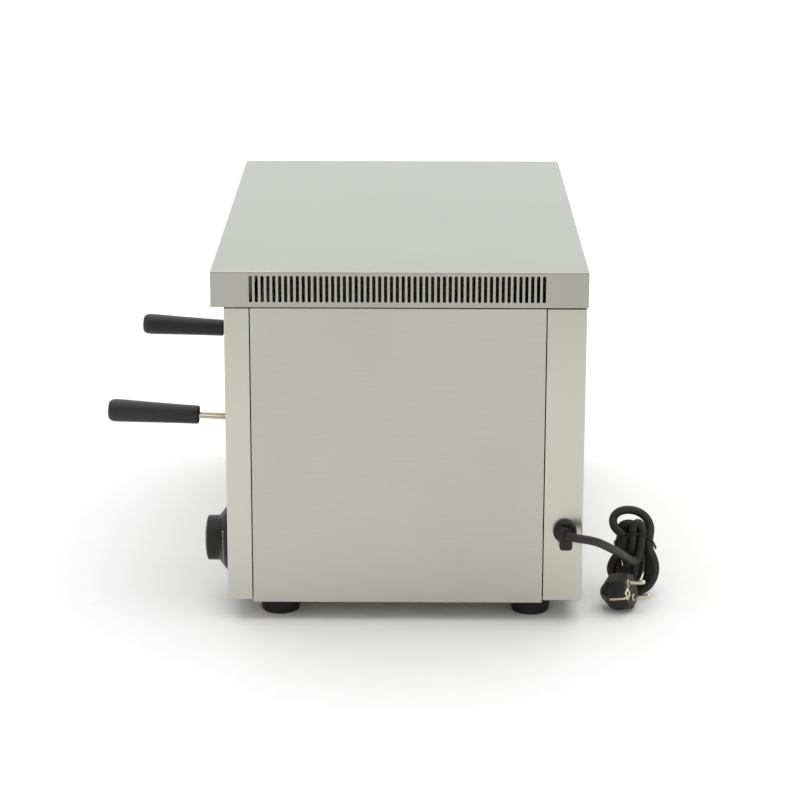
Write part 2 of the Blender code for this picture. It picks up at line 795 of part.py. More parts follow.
# ---- Mains lead ----
def make_gland():
    """A snap-in strain relief: round head with a lower tab, a short nose, and the clamp inside the flange."""
    face = SIDE + GAP
    thick = 0.0060
    axis = (face, GLAND_Y, GLAND_Z), (face + thick, GLAND_Y, GLAND_Z)
    gland = rod("strain_relief", *axis, GLAND_HEAD, PHENOLIC, sides=24)
    tab_low = (face, GLAND_Y - 0.00665, GLAND_Z - 0.020)
    tab = box("gland_tab", tab_low, (face + 0.0050, GLAND_Y + 0.00665, GLAND_Z))
    axis = (face + 0.002, GLAND_Y, GLAND_Z), (SIDE - 0.0125, GLAND_Y, GLAND_Z)
    clamp = rod("gland_clamp", *axis, 0.0098, sides=16)
    start, following = (Vector(point) for point in smooth(LEAD_ROUTE, LEAD_STEP)[:2])
    way = (following - start).normalized()
    nose = rod("gland_nose", start - way * 0.013, start - way * GAP, 0.0088, sides=16, end_radius=0.0066)
    join(gland, tab, clamp, nose)


def make_cord():
    wire("mains_lead", smooth(LEAD_ROUTE, LEAD_STEP), CORD_R, RUBBER)
    wide, tall = HANK_Y[1] - HANK_Y[0], HANK_Z[1] - HANK_Z[0]
    radius = wide / 2
    edge = []
    for middle, start in ((tall / 2 - radius, 0), (radius - tall / 2, 180)):
        for step in range(9):
            angle = math.radians(start + 22.5 * step)
            edge.append((radius * math.cos(angle), middle + radius * math.sin(angle)))
    upright = Matrix(((0, 0, 1), (1, 0, 0), (0, 1, 0)))
    middle = ((HANK_X[0] + HANK_X[1]) / 2, (HANK_Y[0] + HANK_Y[1]) / 2, (HANK_Z[0] + HANK_Z[1]) / 2)
    outline("cord_hank", [edge], HANK_X[1] - HANK_X[0], middle, upright, RUBBER)
    half_x, half_y = (HANK_X[1] - HANK_X[0]) / 2 + GAP, wide / 2 + GAP
    loops = []
    for grow in (TIE_T, 0.0):
        x, y = half_x + grow, half_y + grow
        loops.append([(-x, -y), (x, -y), (x, y), (-x, y)])
    outline("cord_tie", loops, TIE_W, (middle[0], middle[1], TIE_Z), Matrix.Identity(3), PHENOLIC)


def make_plug():
    """An angled two-pin plug with side earth clips, lying with its pins towards the rear."""
    pins = Vector(PLUG_PIN_WAY).normalized()
    cable = Vector(PLUG_CABLE_WAY)
    cable = (cable - pins * cable.dot(pins)).normalized()
    across = cable.cross(pins)
    middle = Vector(PLUG_MID)
    front = middle + pins * PLUG_DEPTH / 2

    def at(along_pins, along_cable, along_across):
        return middle + pins * along_pins + cable * along_cable + across * along_across

    half = PLUG_DEPTH / 2
    ends = at(-half, 0, 0), at(half, 0, 0)
    body = rod("plug_body", *ends, PLUG_R - 0.004, PHENOLIC, sides=12, end_radius=PLUG_R)
    boot = rod("plug_boot", at(-0.002, 0.010, 0), at(-0.002, 0.0395, 0), 0.0098, sides=12, end_radius=0.0064)
    join(body, boot)
    for name, offset in (("upper", -PIN_SPACING / 2), ("lower", PIN_SPACING / 2)):
        start = front + across * offset + pins * GAP
        rod(f"plug_pin_{name}", start, start + pins * PIN_L, PIN_R, BRASS, sides=10)
    clip_t = 0.0011
    side = -(PLUG_R + GAP + clip_t / 2)
    clip = box("earth_clip", (-0.0125, -clip_t / 2, -0.0028), (0.0125, clip_t / 2, 0.0028), BRASS)
    clip.location = at(half - 0.0130, side, 0)
    clip.rotation_euler = Matrix((pins, cable, -across)).transposed().to_euler()


make_top_cover()
make_cover_brace()
make_side_panel("side_panel_left", -1)
make_side_panel("side_panel_right", 1)
make_front_panel()
make_rear_panel()
make_base()
make_rear_screws()
make_chamber()
make_rack_guides()
make_heaters()
make_guard("upper", 0.2830, -1)
make_guard("lower", 0.1530, 1)
make_grid()
make_handles()
make_crumb_tray()
make_timer()
make_switches()
make_lamp()
make_electrics()
make_gland()
make_cord()
make_plug()
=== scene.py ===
"""Counter-top quartz grill oven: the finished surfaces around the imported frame.

Metres, +Z up, the open front towards -Y and the mains lead on the +X side. A new piece is a
surface of two parameters on a numpy grid, and its sizes come from the frame's nodes or from the
named values here.
"""

import math

import bmesh
import bpy
import numpy as np
from mathutils import Matrix, Vector


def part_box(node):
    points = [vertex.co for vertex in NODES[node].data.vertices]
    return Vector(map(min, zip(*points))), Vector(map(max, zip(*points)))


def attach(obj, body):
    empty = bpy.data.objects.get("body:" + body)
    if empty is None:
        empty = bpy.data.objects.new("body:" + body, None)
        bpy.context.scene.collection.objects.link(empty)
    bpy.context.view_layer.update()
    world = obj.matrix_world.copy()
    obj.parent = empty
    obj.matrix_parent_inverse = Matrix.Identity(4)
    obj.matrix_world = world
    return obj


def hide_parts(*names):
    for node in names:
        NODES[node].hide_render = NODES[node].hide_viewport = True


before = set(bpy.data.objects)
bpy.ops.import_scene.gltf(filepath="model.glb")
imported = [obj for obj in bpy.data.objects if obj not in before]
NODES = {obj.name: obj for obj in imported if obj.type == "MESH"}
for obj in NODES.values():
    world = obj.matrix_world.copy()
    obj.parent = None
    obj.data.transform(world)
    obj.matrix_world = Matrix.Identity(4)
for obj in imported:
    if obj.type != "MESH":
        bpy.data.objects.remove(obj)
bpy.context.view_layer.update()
MM = 0.001
FULL_TURN = 2 * math.pi


# ---- Sizes from the frame ----
def corners(node):
    """A node's lowest and highest corners as arrays."""
    low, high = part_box(node)
    return np.array(low), np.array(high)


COVER_LOW, COVER_HIGH = corners("top_cover")
FRONT_LOW, FRONT_HIGH = corners("front_panel")
REAR_LOW, REAR_HIGH = corners("rear_panel")
SWITCH_X = {"upper": 0.120, "lower": 0.060}
SWITCH_Z = 0.066
CHAMBER_X = float(corners("chamber_wall_right")[0][0])
FRONT_Y = float(FRONT_LOW[1])
SIDE_X = float(FRONT_HIGH[0])
SHEET = 1.0 * MM
SLOT_W, SLOT_H = 3.4 * MM, 27.8 * MM


# ---- Shapes from lines and grids ----
def fillet(points, radius, steps=5, support=0.4 * MM, closed=False):
    """Round the corners of a line. Each corner gives way to a quadratic curve that starts and ends
    one radius from it, or 45% of the shorter side if that is less; a point just outside each end
    keeps the flats flat."""
    points = np.asarray(points, dtype=float)
    if closed:
        before, corner, after = np.roll(points, 1, axis=0), points, np.roll(points, -1, axis=0)
    else:
        before, corner, after = points[:-2], points[1:-1], points[2:]
    back, on = before - corner, after - corner
    back_length = np.linalg.norm(back, axis=1, keepdims=True)
    on_length = np.linalg.norm(on, axis=1, keepdims=True)
    run = np.minimum(radius, 0.45 * np.minimum(back_length, on_length))
    extra = np.minimum(support, 0.04 * np.minimum(back_length, on_length))
    back, on = back / back_length, on / on_length
    t = np.linspace(0.0, 1.0, steps + 1)[None, :, None]
    start, end = (corner + back * run)[:, None], (corner + on * run)[:, None]
    curve = (1 - t) ** 2 * start + 2 * t * (1 - t) * corner[:, None] + t**2 * end
    outer = (corner + back * (run + extra))[:, None], (corner + on * (run + extra))[:, None]
    rounded = np.concatenate([outer[0], curve, outer[1]], axis=1).reshape(-1, points.shape[1])
    if closed:
        return rounded
    return np.concatenate([points[:1], rounded, points[-1:]])


def catmull(points, step):
    """Points an even step apart on a Catmull-Rom curve through the given points."""
    p = np.array(points, dtype=float)
    p = np.vstack([2 * p[0] - p[1], p, 2 * p[-1] - p[-2]])
    a, b, c, d = (p[i : len(p) - 3 + i][:, None] for i in range(4))
    t = np.linspace(0.0, 1.0, 24, endpoint=False)[None, :, None]
    square, cube = 2 * a - 5 * b + 4 * c - d, 3 * b - a - 3 * c + d
    fine = 0.5 * (2 * b + (c - a) * t + square * t**2 + cube * t**3)
    return evenly(np.vstack([fine.reshape(-1, 3), p[-2:-1]]), step)


def evenly(line, step):
    """The same line with its points an even step apart."""
    along = np.concatenate([[0.0], np.cumsum(np.linalg.norm(np.diff(line, axis=0), axis=1))])
    even = np.linspace(0.0, along[-1], max(2, round(along[-1] / step) + 1))
    return np.stack([np.interp(even, along, line[:, k]) for k in range(3)], axis=1)


def in_scene(name, data):
    """A new object with this data, linked to the scene."""
    made = bpy.data.objects.new(name, data)
    bpy.context.scene.collection.objects.link(made)
    return made


def mesh_piece(name, points, faces, finish, sharp_angle=40):
    """A mesh object from points and faces, closed where points meet, its faces turned outwards."""
    mesh = bpy.data.meshes.new(name)
    mesh.from_pydata(np.asarray(points).reshape(-1, 3).tolist(), [], faces)
    bm = bmesh.new()
    bm.from_mesh(mesh)
    bmesh.ops.remove_doubles(bm, verts=bm.verts, dist=0.002 * MM)
    bmesh.ops.recalc_face_normals(bm, faces=bm.faces)
    bm.to_mesh(mesh)
    bm.free()
    piece = in_scene(name, mesh)
    mesh.shade_smooth()
    mesh.set_sharp_from_angle(angle=math.radians(sharp_angle))
    mesh.materials.append(finish)
    return piece


def grid_faces(rings, around, wrap_rings=False, wrap_around=True, capped=True, first=0):
    """Quads between neighbours on a grid of rings, with a flat face over each open end."""
    index = first + np.arange(rings * around).reshape(rings, around)
    ends = [index[0, ::-1].tolist(), index[-1].tolist()] if capped and not wrap_rings else []
    if wrap_around:
        index = np.hstack([index, index[:, :1]])
    if wrap_rings:
        index = np.vstack([index, index[:1]])
    quads = np.stack([index[:-1, :-1], index[:-1, 1:], index[1:, 1:], index[1:, :-1]], axis=-1)
    return quads.reshape(-1, 4).tolist() + ends


def surface(name, grid, finish, sharp_angle=40, **closing):
    """A piece from one grid of points, rings by points round each ring."""
    return mesh_piece(name, grid, grid_faces(*grid.shape[:2], **closing), finish, sharp_angle)


def axes_for(way):
    """Two unit vectors square to a direction and to each other."""
    way = np.asarray(way, dtype=float) / np.linalg.norm(way)
    helper = np.array([0.0, 0.0, 1.0]) if abs(way[2]) < 0.9 else np.array([1.0, 0.0, 0.0])
    across = np.cross(helper, way)
    across /= np.linalg.norm(across)
    return way, across, np.cross(way, across)


def turned_grid(profile, origin, axis, sides=64):
    """A profile of (radius, height) turned about an axis: each ring is a circle of its radius at
    its height."""
    profile = np.asarray(profile, dtype=float)
    way, across, up = axes_for(axis)
    angle = np.linspace(0.0, FULL_TURN, sides, endpoint=False)[None, :, None]
    radius, height = profile[:, 0][:, None, None], profile[:, 1][:, None, None]
    circle = np.cos(angle) * across + np.sin(angle) * up
    return np.asarray(origin) + height * way + radius * circle


def turned(name, profile, origin, axis, finish, sides=64, **options):
    """A piece turned from a profile of (radius, height)."""
    return surface(name, turned_grid(profile, origin, axis, sides), finish, **options)


def carried_frames(path):
    """Tangents of a path, and two normals that turn along it only as much as the tangent does."""
    tangent = np.gradient(path, axis=0)
    tangent /= np.linalg.norm(tangent, axis=1, keepdims=True)
    normals = [axes_for(tangent[0])[1]]
    for way in tangent[1:]:
        normal = normals[-1] - way * (normals[-1] @ way)
        normals.append(normal / np.linalg.norm(normal))
    normals = np.array(normals)
    return tangent, normals, np.cross(tangent, normals)


def tube_grid(path, radius, sides=16):
    """A circle carried along a path: each ring is square to the path there, with that point's
    radius."""
    path = np.asarray(path, dtype=float)
    _, normal, other = carried_frames(path)
    angle = np.linspace(0.0, FULL_TURN, sides, endpoint=False)[None, :, None]
    radius = np.broadcast_to(radius, len(path))[:, None, None]
    circle = np.cos(angle) * normal[:, None] + np.sin(angle) * other[:, None]
    return path[:, None] + radius * circle


def closed_tube_grid(loop, radius, sides):
    """A circle carried round a flat closed loop: rings square to the loop, upright all round."""
    tangent = np.roll(loop, -1, axis=0) - np.roll(loop, 1, axis=0)
    tangent /= np.linalg.norm(tangent, axis=1, keepdims=True)
    up = np.array([0.0, 0.0, 1.0])
    outward = np.cross(tangent, up)
    angle = np.linspace(0.0, FULL_TURN, sides, endpoint=False)[None, :, None]
    return loop[:, None] + radius * (np.cos(angle) * outward[:, None] + np.sin(angle) * up)


def tube(name, path, radius, finish, sides=16, **options):
    """A piece with a round section along a path."""
    return surface(name, tube_grid(path, radius, sides), finish, **options)


def many_tubes(name, wires, finish, sides=12):
    """Several wires, each a path and its radii, as one piece."""
    points, faces, first = [], [], 0
    for path, radii in wires:
        grid = tube_grid(path, radii, sides)
        faces += grid_faces(*grid.shape[:2], first=first)
        points.append(grid.reshape(-1, 3))
        first += grid.shape[0] * grid.shape[1]
    return mesh_piece(name, np.vstack(points), faces, finish, sharp_angle=60)


def rounded_end(radius, length, round_over, steps=4):
    """Radii and places along a straight wire whose two ends are rounded over."""
    angle = np.linspace(0.0, math.pi / 2, steps)
    edge = radius - round_over * (1 - np.sin(angle))
    along = round_over * (1 - np.cos(angle))
    return np.concatenate([edge, edge[::-1]]), np.concatenate([along, length - along[::-1]])


def straight_wire(start, end, radius):
    """A straight wire's path and radii, with rounded ends."""
    start, end = np.asarray(start, dtype=float), np.asarray(end, dtype=float)
    length = np.linalg.norm(end - start)
    radii, places = rounded_end(radius, length, 0.45 * radius)
    return start + (end - start) / length * places[:, None], radii


def rectangle(low, high, radius, steps=4):
    """A rectangle's outline from two 2D corners, its corners rounded to the radius."""
    (x0, y0), (x1, y1) = low, high
    radius = max(radius, 0.01 * MM)
    angle = np.linspace(0.0, math.pi / 2, steps + 1)
    arc = np.stack([np.cos(angle), np.sin(angle)], axis=1) * radius
    left, right, bottom, top = x0 + radius, x1 - radius, y0 + radius, y1 - radius
    centres = np.array([(right, top), (left, top), (left, bottom), (right, bottom)])
    turns = [np.array([[c, s], [-s, c]]) for c, s in ((1, 0), (0, 1), (-1, 0), (0, -1))]
    return np.concatenate([centre + arc @ turn for centre, turn in zip(centres, turns)])


def stack(loops, levels, plane):
    """Rings from 2D loops at levels: plane names the loop's two axes and then the level's, such as
    "xyz"."""
    grid = np.zeros((len(loops), len(loops[0]), 3))
    order = ["xyz".index(axis) for axis in plane]
    grid[..., order[0]] = np.array(loops)[..., 0]
    grid[..., order[1]] = np.array(loops)[..., 1]
    grid[..., order[2]] = np.asarray(levels)[:, None]
    return grid


def rectangles(name, rings, plane, finish, **options):
    """A surface through rectangles, each given as its low and high corners, corner radius and
    level."""
    loops = [rectangle(low, high, corner) for low, high, corner, _ in rings]
    return surface(name, stack(loops, [ring[-1] for ring in rings], plane), finish, **options)


def pan(name, low, high, profile, plane, finish, corner=1.2 * MM, **options):
    """A folded sheet: a profile of (inset, level) carried round a rectangle, whose corners tighten
    as it insets."""
    low, high = np.asarray(low), np.asarray(high)
    rings = [
        (low + inset, high - inset, corner - 0.6 * min(inset, corner), level)
        for inset, level in profile
    ]
    return rectangles(name, rings, plane, finish, **options)


def folded(face, edge, thick, radii, reach=6 * MM):
    """A folded sheet's (inset, level) profile: along the face, round the fold to the sheet's edge,
    and back inside. The radii are the fold's outer and inner ones."""
    inner = face + math.copysign(thick, edge - face)
    outside = fillet([(reach, face), (0.0, face), (0.0, edge)], radii[0])
    inside = fillet([(thick, edge), (thick, inner), (reach, inner)], radii[1])
    return np.concatenate([outside, inside])


def block(name, low, high, finish, edge=0.5 * MM, steps=2):
    """A box with rounded edges: rectangles stacked along Z, drawn in at the two ends by a quarter
    circle."""
    low, high = np.asarray(low, dtype=float), np.asarray(high, dtype=float)
    angle = np.linspace(0.0, math.pi / 2, steps + 2)
    inset = edge * (1 - np.sin(angle))
    rise = edge * (1 - np.cos(angle))
    inset = np.concatenate([inset, inset[::-1]])
    levels = np.concatenate([low[2] + rise, high[2] - rise[::-1]])
    loops = [
        rectangle(low[:2] + i, high[:2] - i, edge + 0.01 * MM - min(i, 0.9 * edge)) for i in inset
    ]
    return surface(name, stack(loops, levels, "xyz"), finish, sharp_angle=50)


def joined(name, pieces):
    """Several pieces as one, keeping their materials."""
    bm = bmesh.new()
    materials = []
    for piece in pieces:
        start = len(bm.faces)
        bm.from_mesh(piece.data)
        material = piece.data.materials[0]
        if material not in materials:
            materials.append(material)
        bm.faces.ensure_lookup_table()
        for face in bm.faces[start:]:
            face.material_index = materials.index(material)
        bpy.data.objects.remove(piece)
    mesh = bpy.data.meshes.new(name)
    bm.to_mesh(mesh)
    bm.free()
    for material in materials:
        mesh.materials.append(material)
    return in_scene(name, mesh)


def boolean(piece, cutter, operation="DIFFERENCE", sharp_angle=40):
    """Cut or join another piece into this one, and remove it."""
    step = piece.modifiers.new("boolean", "BOOLEAN")
    step.operation = operation
    step.object = cutter
    bpy.context.view_layer.update()
    evaluated = piece.evaluated_get(bpy.context.evaluated_depsgraph_get())
    made = bpy.data.meshes.new_from_object(evaluated)
    piece.modifiers.clear()
    piece.data = made
    made.shade_smooth()
    made.set_sharp_from_angle(angle=math.radians(sharp_angle))
    bpy.data.objects.remove(cutter)
    return piece


def slot_cutter(centres, width, height, depth, axes):
    """Upright slots with half-round ends: a stadium swept through the sheet at each centre."""
    run, through = np.array(axes[0], dtype=float), np.array(axes[1], dtype=float)
    angle = np.linspace(0.0, math.pi, 9)
    arc = np.stack([np.cos(angle), np.sin(angle)], axis=1) * width / 2
    outline = np.concatenate([arc + (0, (height - width) / 2), -arc - (0, (height - width) / 2)])
    flat = outline[:, :1] * run + outline[:, 1:] * np.array([0.0, 0.0, 1.0])
    sweep = np.array([-depth / 2, depth / 2])[:, None, None] * through
    points, faces = [], []
    for i, centre in enumerate(centres):
        points.append(np.asarray(centre) + flat[None] + sweep)
        faces += grid_faces(2, len(outline), first=i * 2 * len(outline))
    return mesh_piece("slot_cutter", np.concatenate(points), faces, PLAIN)


# ---- Materials ----
def linear(code):
    """An sRGB hex colour as linear red, green and blue, with alpha 1."""
    value = np.array([int(code[i : i + 2], 16) for i in (1, 3, 5)]) / 255
    curved = ((value + 0.055) / 1.055) ** 2.4
    return (*np.where(value <= 0.04045, value / 12.92, curved).tolist(), 1.0)


def add(tree, kind, inputs=(), **settings):
    """Add a node with its settings, and set or link its inputs."""
    made = tree.nodes.new(kind)
    for key, value in settings.items():
        setattr(made, key, value)
    for key, value in dict(inputs).items():
        if isinstance(value, bpy.types.NodeSocket):
            tree.links.new(value, made.inputs[key])
        else:
            made.inputs[key].default_value = value
    return made


def begin(name, roughness, metallic=0.0, **sockets):
    """A material with its Principled shader's plain values set, and its Object coordinates."""
    material = bpy.data.materials.new(name)
    material.use_nodes = True
    tree = material.node_tree
    shader = tree.nodes["Principled BSDF"]
    shader.inputs["Roughness"].default_value = roughness
    shader.inputs["Metallic"].default_value = metallic
    for key, value in sockets.items():
        shader.inputs[key.replace("_", " ")].default_value = value
    return material, tree, shader, add(tree, "ShaderNodeTexCoord").outputs["Object"]


def noise(tree, where, scale, detail=2.0, **more):
    """A 0 to 1 noise pattern of the given scale."""
    inputs = {"Vector": where, "Scale": scale, "Detail": detail, **more}
    return add(tree, "ShaderNodeTexNoise", inputs).outputs["Fac"]


def vary(tree, shader, factor, dark, light, socket="Base Color"):
    """Mix two colours by a 0 to 1 pattern into a shader socket."""
    mix = add(tree, "ShaderNodeMix", data_type="RGBA")
    tree.links.new(factor, mix.inputs[0])
    mix.inputs[6].default_value = linear(dark)
    mix.inputs[7].default_value = linear(light)
    tree.links.new(mix.outputs[2], shader.inputs[socket])


def relief(tree, shader, height, strength, distance):
    """Raise a 0 to 1 pattern from the surface as a bump."""
    inputs = {"Height": height, "Strength": strength, "Distance": distance}
    bump = add(tree, "ShaderNodeBump", inputs)
    tree.links.new(bump.outputs[0], shader.inputs["Normal"])


def spread(tree, value, low, high, socket):
    """Stretch a 0 to 1 pattern to a range, and link it to a socket."""
    made = add(tree, "ShaderNodeMapRange", {"Value": value, "To Min": low, "To Max": high})
    tree.links.new(made.outputs[0], socket)


def ground_stainless(name, dark, light, roughness, along, line_mm, grain):
    """Austenitic stainless sheet, belt ground: straight hair lines along one axis that soften every
    reflection, over broad, faint changes of tone from handling. Real lines are 0.1 mm apart; they
    are drawn coarser."""
    material, tree, shader, where = begin(name, roughness, metallic=1.0)
    across_scale, drawn_out = 1000 / line_mm, 50
    scale = [across_scale] * 3
    scale["xyz".index(along)] = across_scale / drawn_out
    lines_at = add(tree, "ShaderNodeMapping", {"Vector": where, "Scale": scale}).outputs[0]
    lines = noise(tree, lines_at, 1.0, 4.0, Roughness=0.65)
    cloud = noise(tree, where, 5.0, 2.0, Roughness=0.45)
    fine = add(tree, "ShaderNodeMath", {0: lines, 1: grain}, operation="MULTIPLY").outputs[0]
    both = {0: cloud, 1: 1.0 - grain, 2: fine}
    tone = add(tree, "ShaderNodeMath", both, operation="MULTIPLY_ADD").outputs[0]
    steep = add(tree, "ShaderNodeMapRange", {"Value": tone, "From Min": 0.3, "From Max": 0.7})
    vary(tree, shader, steep.outputs[0], dark, light)
    spread(tree, lines, roughness - 0.05, roughness + 0.05, shader.inputs["Roughness"])
    relief(tree, shader, lines, 0.10, 0.02 * MM)
    return material


def moulded(name, dark, light, roughness, grain_mm, depth_mm, shine=0.28):
    """Moulded plastic or rubber: one colour with a fine orange-peel grain and slightly uneven
    gloss."""
    material, tree, shader, where = begin(name, roughness, Specular_IOR_Level=shine)
    fine = noise(tree, where, 1000 / grain_mm, 3.0)
    broad = noise(tree, where, 60.0)
    vary(tree, shader, broad, dark, light)
    spread(tree, broad, roughness - 0.06, roughness + 0.06, shader.inputs["Roughness"])
    relief(tree, shader, fine, 0.25, depth_mm * MM)
    return material


def bright_metal(name, dark, light, roughness, grain_mm=3.0):
    """Plated or rolled metal: nearly a mirror, with a faint mottle that breaks the reflection."""
    material, tree, shader, where = begin(name, roughness, metallic=1.0)
    mottle = noise(tree, where, 1000 / grain_mm)
    vary(tree, shader, mottle, dark, light)
    smoothest = max(0.03, roughness - 0.04)
    spread(tree, mottle, smoothest, roughness + 0.04, shader.inputs["Roughness"])
    relief(tree, shader, mottle, 0.05, 0.02 * MM)
    return material


def milky_quartz():
    """Fused quartz with fine bubbles drawn out along the tube: white, glossy, faintly streaked."""
    name, scale = "milky_quartz_drawn", (60.0, 1400.0, 1400.0)
    material, tree, shader, where = begin(name, 0.12, Coat_Weight=0.6, Coat_Roughness=0.05)
    drawn = add(tree, "ShaderNodeMapping", {"Vector": where, "Scale": scale}).outputs[0]
    streaks = noise(tree, drawn, 1.0, 3.0)
    vary(tree, shader, streaks, "#c9c8c2", "#f1f0ea")
    relief(tree, shader, streaks, 0.1, 0.03 * MM)
    return material


def fired_ceramic():
    """Steatite, pressed and fired: off-white, dry, with a speckle."""
    material, tree, shader, where = begin("steatite_fired", 0.65)
    speck = noise(tree, where, 1500.0)
    vary(tree, shader, speck, "#d9d2c2", "#efe9dc")
    relief(tree, shader, speck, 0.2, 0.03 * MM)
    return material


def clear_moulded(name, dark, light):
    """Translucent moulded plastic: saturated, glossy, with slow flow marks."""
    material, tree, shader, where = begin(name, 0.18, Coat_Weight=0.5, Coat_Roughness=0.08)
    vary(tree, shader, noise(tree, where, 180.0, 1.0, Distortion=0.6), dark, light)
    return material


PLAIN = bpy.data.materials.new("cutter")
COVER_STEEL = ground_stainless("stainless_cover_ground", "#a4a49b", "#acaca3", 0.34, "y", 0.8, 0.40)
SIDE_STEEL = ground_stainless("stainless_side_ground", "#b3b3a9", "#bfbfb5", 0.36, "y", 0.9, 0.45)
SATIN_STEEL = ground_stainless("stainless_front_satin", "#c1bfb2", "#c8c6ba", 0.30, "z", 0.9, 0.25)
TRAY_STEEL = ground_stainless("stainless_tray_mill", "#b4b3ad", "#c4c3bd", 0.28, "x", 0.9, 0.5)
# Painted shade: the chamber sheets are darker and duller than real aluminised sheet, so the vent
# slots read dark instead of showing light bounced off the roof.
SHADE_DARKENED_REFLECTOR = bright_metal("aluminised_sheet_painted_shade", "#8e8d89", "#a4a39f", 0.38, 12.0)
CHROME = bright_metal("nickel_plate_on_wire", "#aaa690", "#bfbaa4", 0.16)
ZINC = bright_metal("zinc_plate_passivated", "#a9a9a6", "#c2c2be", 0.30)
BRASS = bright_metal("nickel_plated_brass", "#cbc29c", "#e3ddc4", 0.22)
PHENOLIC = moulded("phenolic_handle_moulded", "#29282a", "#302f31", 0.36, 0.8, 0.03)
KNOB_BLACK = moulded("abs_knob_moulded", "#1f1e1e", "#262524", 0.40, 0.7, 0.03)
FOOT_RUBBER = moulded("rubber_foot_moulded", "#1a1917", "#22211e", 0.62, 0.9, 0.06)
CORD_RUBBER = moulded("rubber_sheath_extruded", "#262524", "#302f2d", 0.48, 0.9, 0.05)
PLUG_RUBBER = moulded("rubber_plug_moulded", "#1e1d1d", "#292827", 0.50, 0.8, 0.04)
GLAND_NYLON = moulded("nylon_gland_moulded", "#1f1e1b", "#292824", 0.46, 0.7, 0.03)
WHITE_NYLON = moulded("nylon_terminal_moulded", "#d8d5ca", "#e4e2d9", 0.50, 0.8, 0.03)
TIE_PVC = moulded("pvc_tie_wire_extruded", "#141414", "#1d1d1d", 0.35, 0.5, 0.02)
QUARTZ = milky_quartz()
CERAMIC = fired_ceramic()
RED_LENS = clear_moulded("polycarbonate_rocker_red", "#8e1410", "#b52018")
AMBER_LENS = clear_moulded("polycarbonate_lamp_amber", "#b4641a", "#dd8f2e")
WHITE_INK = moulded("screen_ink_white", "#d9d9d6", "#e9e9e7", 0.55, 0.6, 0.01)
BLACK_INK = moulded("screen_ink_black", "#1b1b1b", "#232323", 0.55, 0.6, 0.01)


def place(piece, body, *replaced, slot=None):
    """Let a piece ride on its body and stand for CAD nodes; the slot argument is not used."""
    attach(piece, body)
    if replaced:
        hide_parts(*replaced)
    return piece


# ---- Camera, light and floor ----
def make_camera():
    """A long lens a little above the top, square to the right-hand side."""
    pitch, yaw, roll = (math.radians(a) for a in (15.74, 0.267, 0.124))
    level = math.cos(pitch)
    forward = Vector((-level * math.cos(yaw), -level * math.sin(yaw), -math.sin(pitch)))
    right = forward.cross(Vector((0, 0, 1))).normalized()
    up = right.cross(forward)
    rolled_right = math.cos(roll) * right + math.sin(roll) * up
    rolled_up = math.cos(roll) * up - math.sin(roll) * right
    turn = Matrix((rolled_right, rolled_up, -forward)).transposed().to_4x4()
    data = bpy.data.cameras.new("camera")
    data.sensor_width = 36.0
    data.lens = 118.53
    camera = in_scene("camera", data)
    near_corner = Vector((COVER_HIGH[0], COVER_LOW[1], COVER_HIGH[2]))
    camera.matrix_world = Matrix.Translation(near_corner + Vector((2.6032, 0.2053, 0.5991))) @ turn
    bpy.context.scene.camera = camera


def softbox(name, position, target, size, power, colour):
    """A rectangular light that faces its target."""
    data = bpy.data.lights.new(name, "AREA")
    data.color = colour
    data.shape = "RECTANGLE"
    data.size, data.size_y = size
    data.energy = power
    lamp = in_scene(name, data)
    lamp.location = position
    lamp.rotation_euler = (Vector(target) - Vector(position)).to_track_quat("-Z", "Y").to_euler()


def make_studio():
    """White surroundings, a broad light overhead, one behind for the cover's sheen, and a pale
    floor."""
    scene = bpy.context.scene
    scene.view_settings.view_transform = "Standard"
    world = bpy.data.worlds.new("studio")
    world.use_nodes = True
    background = world.node_tree.nodes["Background"]
    background.inputs["Color"].default_value = (1.0, 1.0, 1.0, 1.0)
    background.inputs["Strength"].default_value = 0.74
    scene.world = world
    sun = in_scene("overhead", bpy.data.lights.new("overhead", "SUN"))
    sun.data.energy = 1.5
    sun.data.angle = math.radians(75)
    sun.rotation_euler = (0.0, math.radians(-14), 0.0)
    softbox("behind", (-3.0, 0.05, 1.35), (0.1, 0.05, 0.3), (4.2, 1.8), 12.0, (0.90, 0.95, 1.0))
    material, tree, shader, where = begin("painted_floor_matt", 0.75)
    vary(tree, shader, noise(tree, where, 40.0), "#f6f6f6", "#fafafa")
    half = 9.0
    outline = [(-half, -half, 0), (half, -half, 0), (half, half, 0), (-half, half, 0)]
    mesh_piece("floor", outline, [(0, 1, 2, 3)], material)


make_camera()
make_studio()


# ---- Mains lead ----
CORD_D = 9.0 * MM
LEAD_ROUTE = [
    (0.3192, 0.2357, 0.0998),
    (0.3245, 0.2399, 0.0995),
    (0.3275, 0.2467, 0.0990),
    (0.3262, 0.2537, 0.0975),
    (0.3225, 0.2603, 0.0950),
    (0.3160, 0.2692, 0.0902),
    (0.3020, 0.2808, 0.0803),
    (0.2830, 0.2930, 0.0680),
    (0.2640, 0.3021, 0.0560),
    (0.2480, 0.3090, 0.0474),
    (0.2370, 0.3139, 0.0440),
    (0.2288, 0.3175, 0.0441),
]
TIE_AT = np.array((0.2120, 0.3150, 0.0650))
PLUG_PIN_WAY = np.array((0.412, 0.883, 0.223))
PLUG_CABLE_WAY = np.array((-0.885, 0.330, 0.327))
PLUG_MID = np.array((0.2658, 0.2921, 0.0191))
PLUG_HALF = 16.5 * MM
CABLE_IN = -2.0 * MM
STEP = 2.0 * MM
HANK_HIGH = corners("cord_hank")[1]


def ease(value):
    """A smooth step from 0 to 1."""
    value = np.clip(value, 0.0, 1.0)
    return value * value * (3 - 2 * value)


